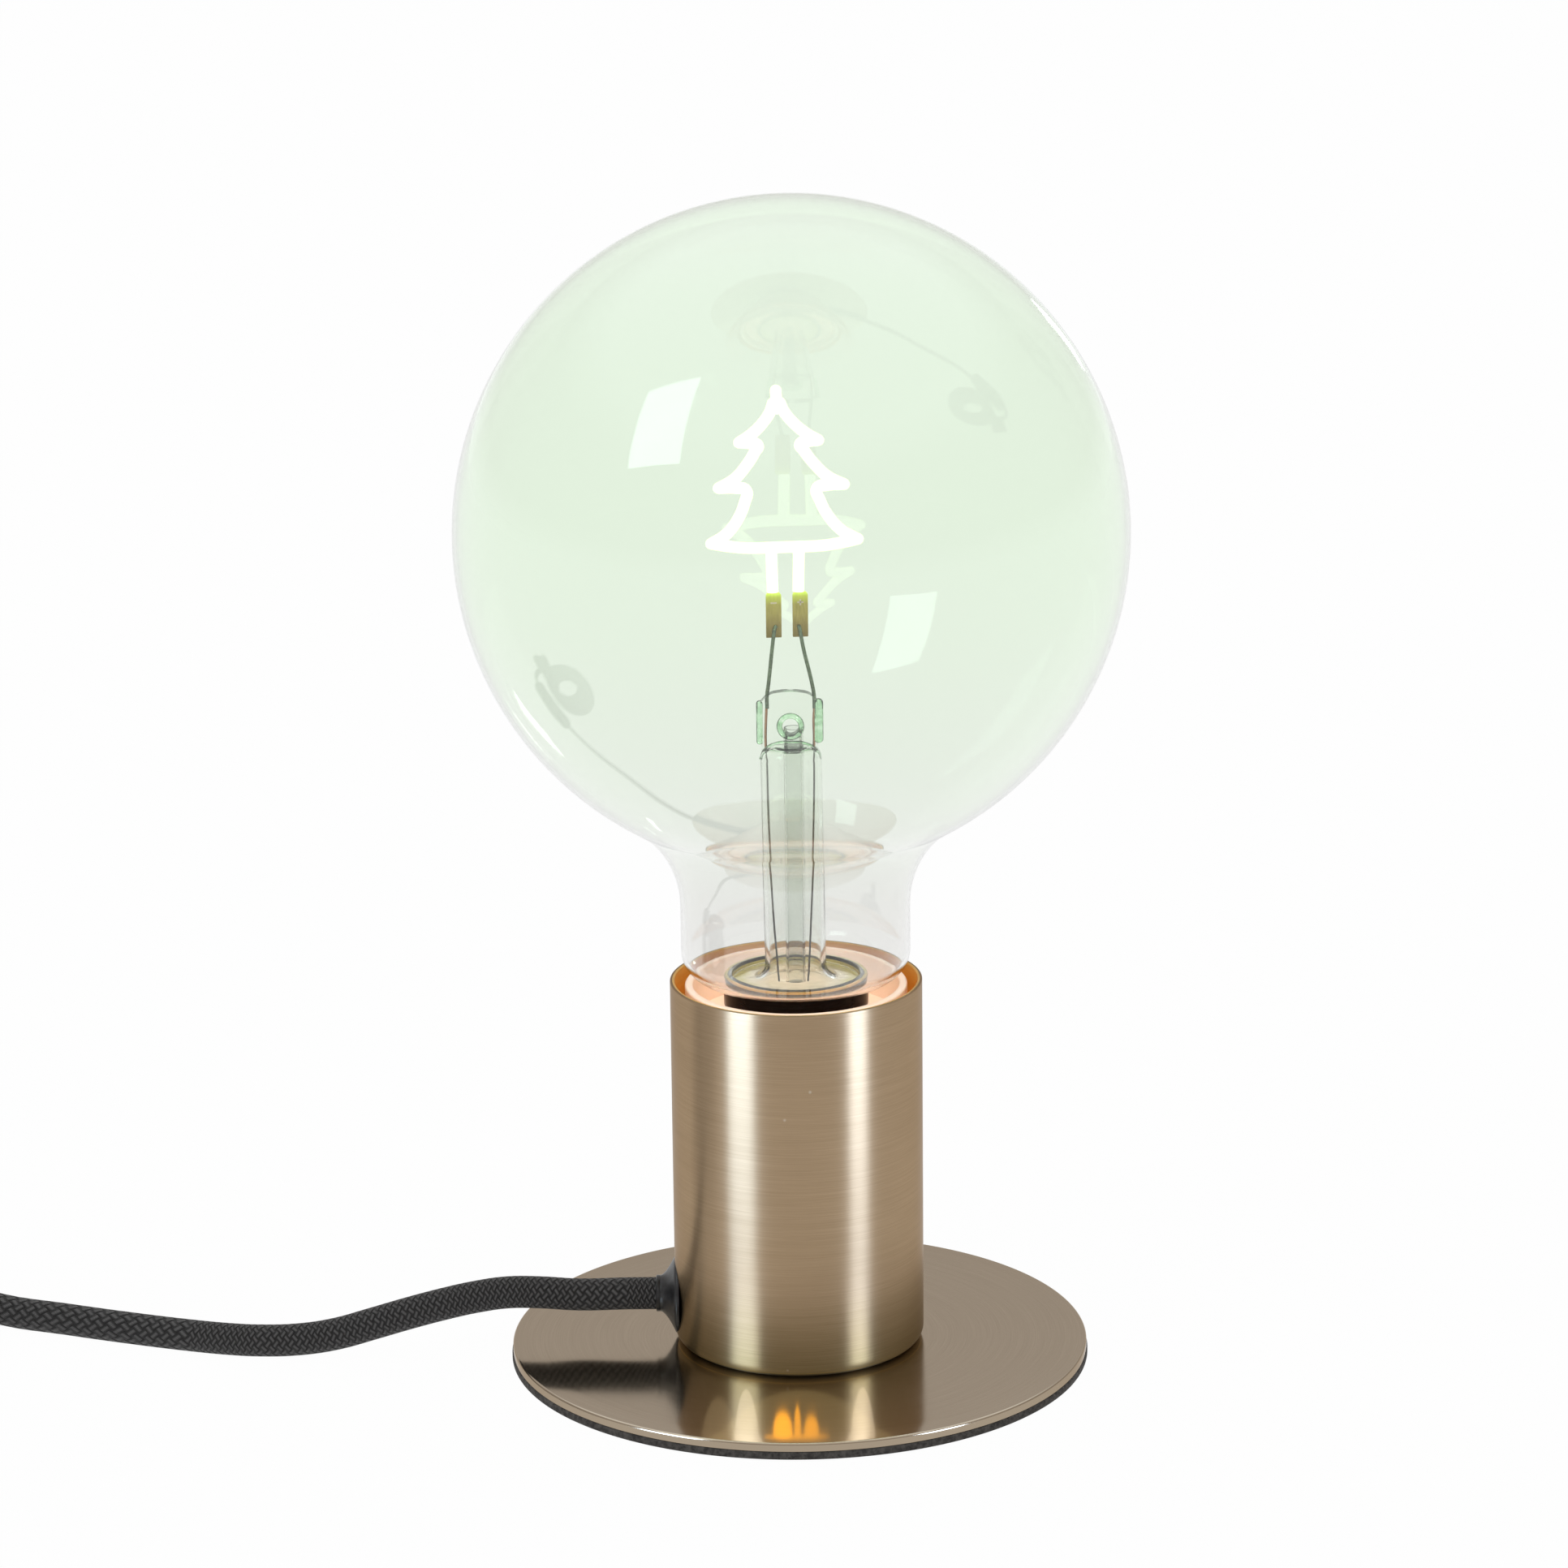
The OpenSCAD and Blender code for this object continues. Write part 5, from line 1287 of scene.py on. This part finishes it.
# The coil winds in below, climbs where the spiral reverses, and winds out above
def coilPoint(turn):
    s = cordShape
    middle = s["coilTurns"] + s["halfLayerTurns"]
    inward = turn if turn < middle else 2 * middle - turn
    radius = s["coilRadius"] - s["coilStep"] * inward
    climb = min(max((turn - s["coilTurns"]) / (2 * s["halfLayerTurns"]), 0), 1)
    eased = climb * climb * (3 - 2 * climb)
    angle = math.pi + math.tau * turn
    x, y = s["coilMiddle"]
    z = s["coilHeight"] + s["layerStep"] * eased
    return x + radius * math.cos(angle), y + radius * math.sin(angle), z


tieShape = {"turn": 0.15, "width": 7, "thickness": 0.6, "snug": 0.12, "ways": 24}


# Strap pulled round all the cords that cross one side of the coil
def buildTie():
    s, t = cordShape, tieShape
    reach = s["diameter"] / 2 + t["snug"]
    middle = Vector((*s["coilMiddle"], 0))
    crossings = [Vector(coilPoint(t["turn"] + k)) - middle for k in range(2 * s["coilTurns"] + 1)]
    spots = [(math.hypot(spot.x, spot.y), spot.z) for spot in crossings]
    angles = [math.tau * i / t["ways"] for i in range(t["ways"])]
    pairs = [(spot, (math.cos(angle), math.sin(angle))) for spot in spots for angle in angles]
    outermost = convex_hull_2d([(x + reach * a, z + reach * b) for (x, z), (a, b) in pairs])
    hull = [pairs[i] for i in outermost]
    bm = bmesh.new()
    inner, outer = (
        [bm.verts.new(((x + out * a) * mm, 0, (z + out * b) * mm)) for (x, z), (a, b) in hull]
        for out in (reach, reach + t["thickness"])
    )
    for i in range(len(hull)):
        bm.faces.new((inner[i - 1], inner[i], outer[i], outer[i - 1]))
    thicken(bm, t["width"])
    turn = Matrix.Rotation(math.pi + math.tau * t["turn"], 4, "Z")
    bmesh.ops.transform(bm, matrix=Matrix.Translation(middle * mm) @ turn, verts=bm.verts)
    return newPiece("cordTie", bm, "tie_black", "lamp", ["cord_tie"], 50)


def cordCurve(name, points, *replaced):
    s = cordShape
    length = sum((Vector(b) - Vector(a)).length for a, b in zip(points, points[1:]))
    finish = makeCordBraid(name + "Braid", length / s["strandStep"], s["strandsAround"])
    cord = newTube(
        name, [evenLine(points)], s["diameter"], finish, "lamp", replaced, fineness=4)
    return cord, length * mm


def buildCords():
    s = cordShape
    run, runLength = cordCurve("cordRun", [s["start"]] + s["run"] + [s["switch"]], "cord_run")
    heading = math.radians(s["switchHeading"])
    out = (s["switch"][0] + s["switchLength"] * math.cos(heading),
           s["switch"][1] + s["switchLength"] * math.sin(heading), s["switch"][2])
    count = int((2 * s["coilTurns"] + s["halfLayerTurns"]) * s["pointsPerTurn"])
    coil = [coilPoint(i / s["pointsPerTurn"]) for i in range(count + 1)]
    start = (coil[0][0], coil[0][1] + s["diameter"], coil[0][2])
    end = (coil[-1][0] + s["diameter"], coil[-1][1], coil[-1][2])
    points = [out] + s["link"] + [start] + coil + [end] + s["tail"] + [s["plug"]]
    lead, leadLength = cordCurve("cordLead", points, "cord_link", "cord_coil", "cord_tail")
    onLead = [nodes[name] for name in ("plug_body", "plug_pins", "pin_sleeves")] + [buildTie()]
    print("cord lengths", round(runLength, 3), round(leadLength, 3))


buildCords()


# Floor and surroundings

studio = {
    "floorSize": 6000,
    "floorDrop": 0.2,
    "floorShade": (0.85, 0.85, 0.85),
    "floorSeen": 0.98,  # share of plain white where the floor is seen
    "wallRadius": 2400,
    "wallHeight": 2400,
    "wallShade": (0.58, 0.55, 0.53),
    "wallGreyFrom": 0.15, "wallGreyTo": 0.6,  # shares of its height
    "fill": 0.62,  # light from all round, next to the background that is seen
}


# 1 for rays that see the background: camera, glossy and transmission
def rayMask(tree):
    rays = addNode(tree, "ShaderNodeLightPath").outputs
    seen = mathNode(tree, "MAXIMUM", rays["Is Camera Ray"], rays["Is Glossy Ray"])
    return mathNode(tree, "MAXIMUM", seen, rays["Is Transmission Ray"])


# A material that only gives off light
def newLightMaterial(name):
    material = bpy.data.materials.new(name)
    material.use_nodes = True
    tree = material.node_tree
    tree.nodes.remove(tree.nodes["Principled BSDF"])
    light = addNode(tree, "ShaderNodeEmission")
    feed(tree, light.outputs[0], tree.nodes["Material Output"], 0)
    return material, tree, light


def addStage(name, bm, material):
    mesh = bpy.data.meshes.new(name)
    bm.to_mesh(mesh)
    bm.free()
    mesh.materials.append(material)
    item = addObject(name, mesh)
    return item


def addWorld():
    world = bpy.data.worlds.new("studioWorld")
    bpy.context.scene.world = world
    world.use_nodes = True
    tree = world.node_tree
    background = tree.nodes["Background"]
    fill = studio["fill"]
    feed(tree, (1, 1, 1, 1), background, 0)
    feed(tree, mathNode(tree, "MULTIPLY_ADD", rayMask(tree), 1.0 - fill, fill), background, 1)


def addFloor():
    material, tree, light = newLightMaterial("floorWhite")
    feed(tree, (1, 1, 1, 1), light, 0)
    diffuse = addNode(tree, "ShaderNodeBsdfDiffuse")
    feed(tree, withAlpha(studio["floorShade"]), diffuse, 0)
    mix = addNode(tree, "ShaderNodeMixShader")
    seen = mathNode(tree, "MULTIPLY", rayMask(tree), studio["floorSeen"])
    for i, source in enumerate((seen, diffuse.outputs[0], light.outputs[0])):
        feed(tree, source, mix, i)
    feed(tree, mix.outputs[0], tree.nodes["Material Output"], 0)
    bm = bmesh.new()
    bmesh.ops.create_circle(bm, cap_ends=True, radius=studio["floorSize"] * mm, segments=64)
    addStage("studioFloor", bm, material).location = (0, 0, -studio["floorDrop"] * mm)


# Grey surroundings that only reflections show
def addWall():
    grey, white = studio["wallShade"], (1, 1, 1)
    radius, height = studio["wallRadius"], studio["wallHeight"]
    material, tree, light = newLightMaterial("wallGrey")
    share = heightShare(tree, objectPlace(tree), 0.0, height * mm)
    stops = [(0.0, white), (studio["wallGreyFrom"], grey), (studio["wallGreyTo"], grey), (1.0, white)]
    feed(tree, rampNode(tree, share, stops), light, 0)
    bm = bmesh.new()
    drawProfile(bm, (radius, 0), (radius, height), closed=False)
    lathe(bm, 64)
    wall = addStage("studioWall", bm, material)
    for ray in ("camera", "diffuse", "transmission", "volume_scatter", "shadow"):
        setattr(wall, "visible_" + ray, False)


# Lamps

# slanted softbox, seen twice in the globe
keyPanel = {
    "corners": [(-752, -238, 998), (-492, -357, 1141), (-668, -729, 763), (-917, -496, 655)],
    "colour": (0.86, 0.96, 1.0), "light": 3.5,
}


def addKeyPanel():
    material, tree, light = newLightMaterial("keyPanelLight")
    feed(tree, withAlpha(keyPanel["colour"]), light, 0)
    feed(tree, keyPanel["light"], light, 1)
    bm = bmesh.new()
    bm.faces.new([bm.verts.new(Vector(place) * mm) for place in keyPanel["corners"]])
    panel = addStage("keyPanel", bm, material)
    panel.visible_camera = False
    panel.visible_shadow = False


# size across and up and distance in metres; bearing is degrees left of the camera, seen from the lamp
softboxes = {
    "leftStripe": {"light": 13.4, "size": (0.47, 0.6), "bearing": 51.5, "height": 15, "distance": 1.1,
                   "colour": (0.50, 0.72, 1.06), "for": "metal"},
    "rightStripe": {"light": 16.0, "size": (0.33, 0.6), "bearing": -56, "height": 15, "distance": 1.1,
                    "colour": (0.52, 0.695, 1.0), "for": "metal"},
    "edgeLine": {"light": 0.7, "size": (0.9, 0.16), "bearing": 0, "height": 66, "distance": 1.0,
                 "colour": (0.85, 0.93, 1.0), "for": "metal"},
    "mouthFill": {"light": 14.0, "size": (0.5, 0.3), "bearing": 0, "height": 58, "distance": 0.8,
                  "colour": (0.84, 0.86, 0.82), "for": "mouth"},
    "rimLight": {"light": 0.12, "size": (4.2, 2.4), "bearing": 180, "height": 3, "distance": 2.0,
                 "colour": (0.8, 1.0, 0.82), "for": "globe"},
    "globeStreak": {"light": 7.0, "size": (0.07, 0.11), "bearing": -159.3, "height": 11.5, "distance": 1.1,
                    "colour": (0.9, 1.0, 0.92), "for": "globe"},
}
areaFilled = {"RECTANGLE": 1.0, "ELLIPSE": math.pi / 4}  # share of width times height


def lightGroup(name, *pieces):
    group = bpy.data.collections.new(name)
    for piece in pieces:
        group.objects.link(piece)
    return group


mouthPieces = (lampholderSkirt, cementBed, nodes["cap_cement"], nodes["holder_insert"])
lit = {
    "metal": lightGroup("brushedMetal", brassCup, basePlate),
    "plate": lightGroup("plateOnly", basePlate),
    "cup": lightGroup("cupOnly", brassCup),
    "globe": lightGroup("globeOnly", globeGlass),
    "mouth": lightGroup("mouth", *mouthPieces),
    "warm": lightGroup("warmMouth", *mouthPieces, brassCup),
}


# A lamp that the camera doesn't see and that lights one group only
def addLamp(name, kind, place, colour, group):
    data = bpy.data.lights.new(name, kind)
    data.color = colour
    lamp = addObject(name, data)
    lamp.location = place
    lamp.visible_camera = False
    lamp.light_linking.receiver_collection = lit[group]
    return lamp


# Light is the brightness of its face, and the size is in metres
def addAreaLamp(name, shape, size, light, turn, place, colour, group):
    lamp = addLamp(name, "AREA", place, colour, group)
    lamp.rotation_euler = turn
    data = lamp.data
    data.shape = shape
    data.size, data.size_y = size
    data.energy = light * math.pi * data.size * data.size_y * areaFilled[shape]
    return lamp


def addSoftbox(name, box):
    bearing, height = math.radians(box["bearing"]), math.radians(box["height"])
    towards = Vector((
        -math.sin(bearing) * math.cos(height), -math.cos(bearing) * math.cos(height), math.sin(height)))
    lamp = addAreaLamp(
        name, "RECTANGLE", box["size"], box["light"], towards.to_track_quat("Z", "Y").to_euler(),
        towards * box["distance"], box["colour"], box["for"])
    if box["for"] == "mouth":
        lamp.light_linking.blocker_collection = lit["cup"]


# place and size in millimetres; small lamps at the cup's front that the plate mirrors
plateGlow = [
    {"place": (-3.4, -24.4, 13.4), "size": (3.6, 8), "light": 2.2},
    {"place": (-0.6, -24.4, 12.8), "size": (1.2, 9), "light": 1.6},
    {"place": (2.0, -24.4, 13.8), "size": (2.8, 7), "light": 1.6},
    {"place": (-0.8, -24.4, 15.9), "size": (12.5, 3.2), "light": 1.5},
    {"place": (-15.5, -20.5, 26), "size": (8, 36), "light": 0.16, "colour": (1.0, 0.85, 0.55)},
    {"place": (-10.2, -23.9, 30), "size": (6, 50), "light": 0.38, "colour": (1.0, 0.96, 0.92)},
    {"place": (11.7, -23.6, 30), "size": (6, 50), "light": 0.40, "colour": (1.0, 0.93, 0.84)},
    {"place": (0, -24.6, 40), "size": (46, 70), "light": 0.14, "colour": (1.0, 0.85, 0.45)},
]
plateGlowColour = (1.0, 0.42, 0.0)


def addPlateGlow():
    towardsViewer = (-math.pi / 2, 0, 0)
    for i, spot in enumerate(plateGlow):
        addAreaLamp(
            "plateGlow%d" % (i + 1), "ELLIPSE", Vector(spot["size"]) * mm, spot["light"], towardsViewer,
            Vector(spot["place"]) * mm, spot.get("colour", plateGlowColour), "plate")


# the lit bulb warms the cup's mouth from inside
bulbGlow = {"place": (0, 0, 84), "energy": 0.0115, "radius": 12, "colour": (1.0, 0.56, 0.28)}


def addBulbGlow():
    lamp = addLamp("bulbGlow", "POINT", Vector(bulbGlow["place"]) * mm, bulbGlow["colour"], "warm")
    lamp.data.energy = bulbGlow["energy"]
    lamp.data.shadow_soft_size = bulbGlow["radius"] * mm
    lamp.visible_transmission = False
    lamp.light_linking.blocker_collection = lit["cup"]


addWorld()
addFloor()
addWall()
for name, box in softboxes.items():
    addSoftbox(name, box)
addKeyPanel()
addPlateGlow()
addBulbGlow()
print("studio built")
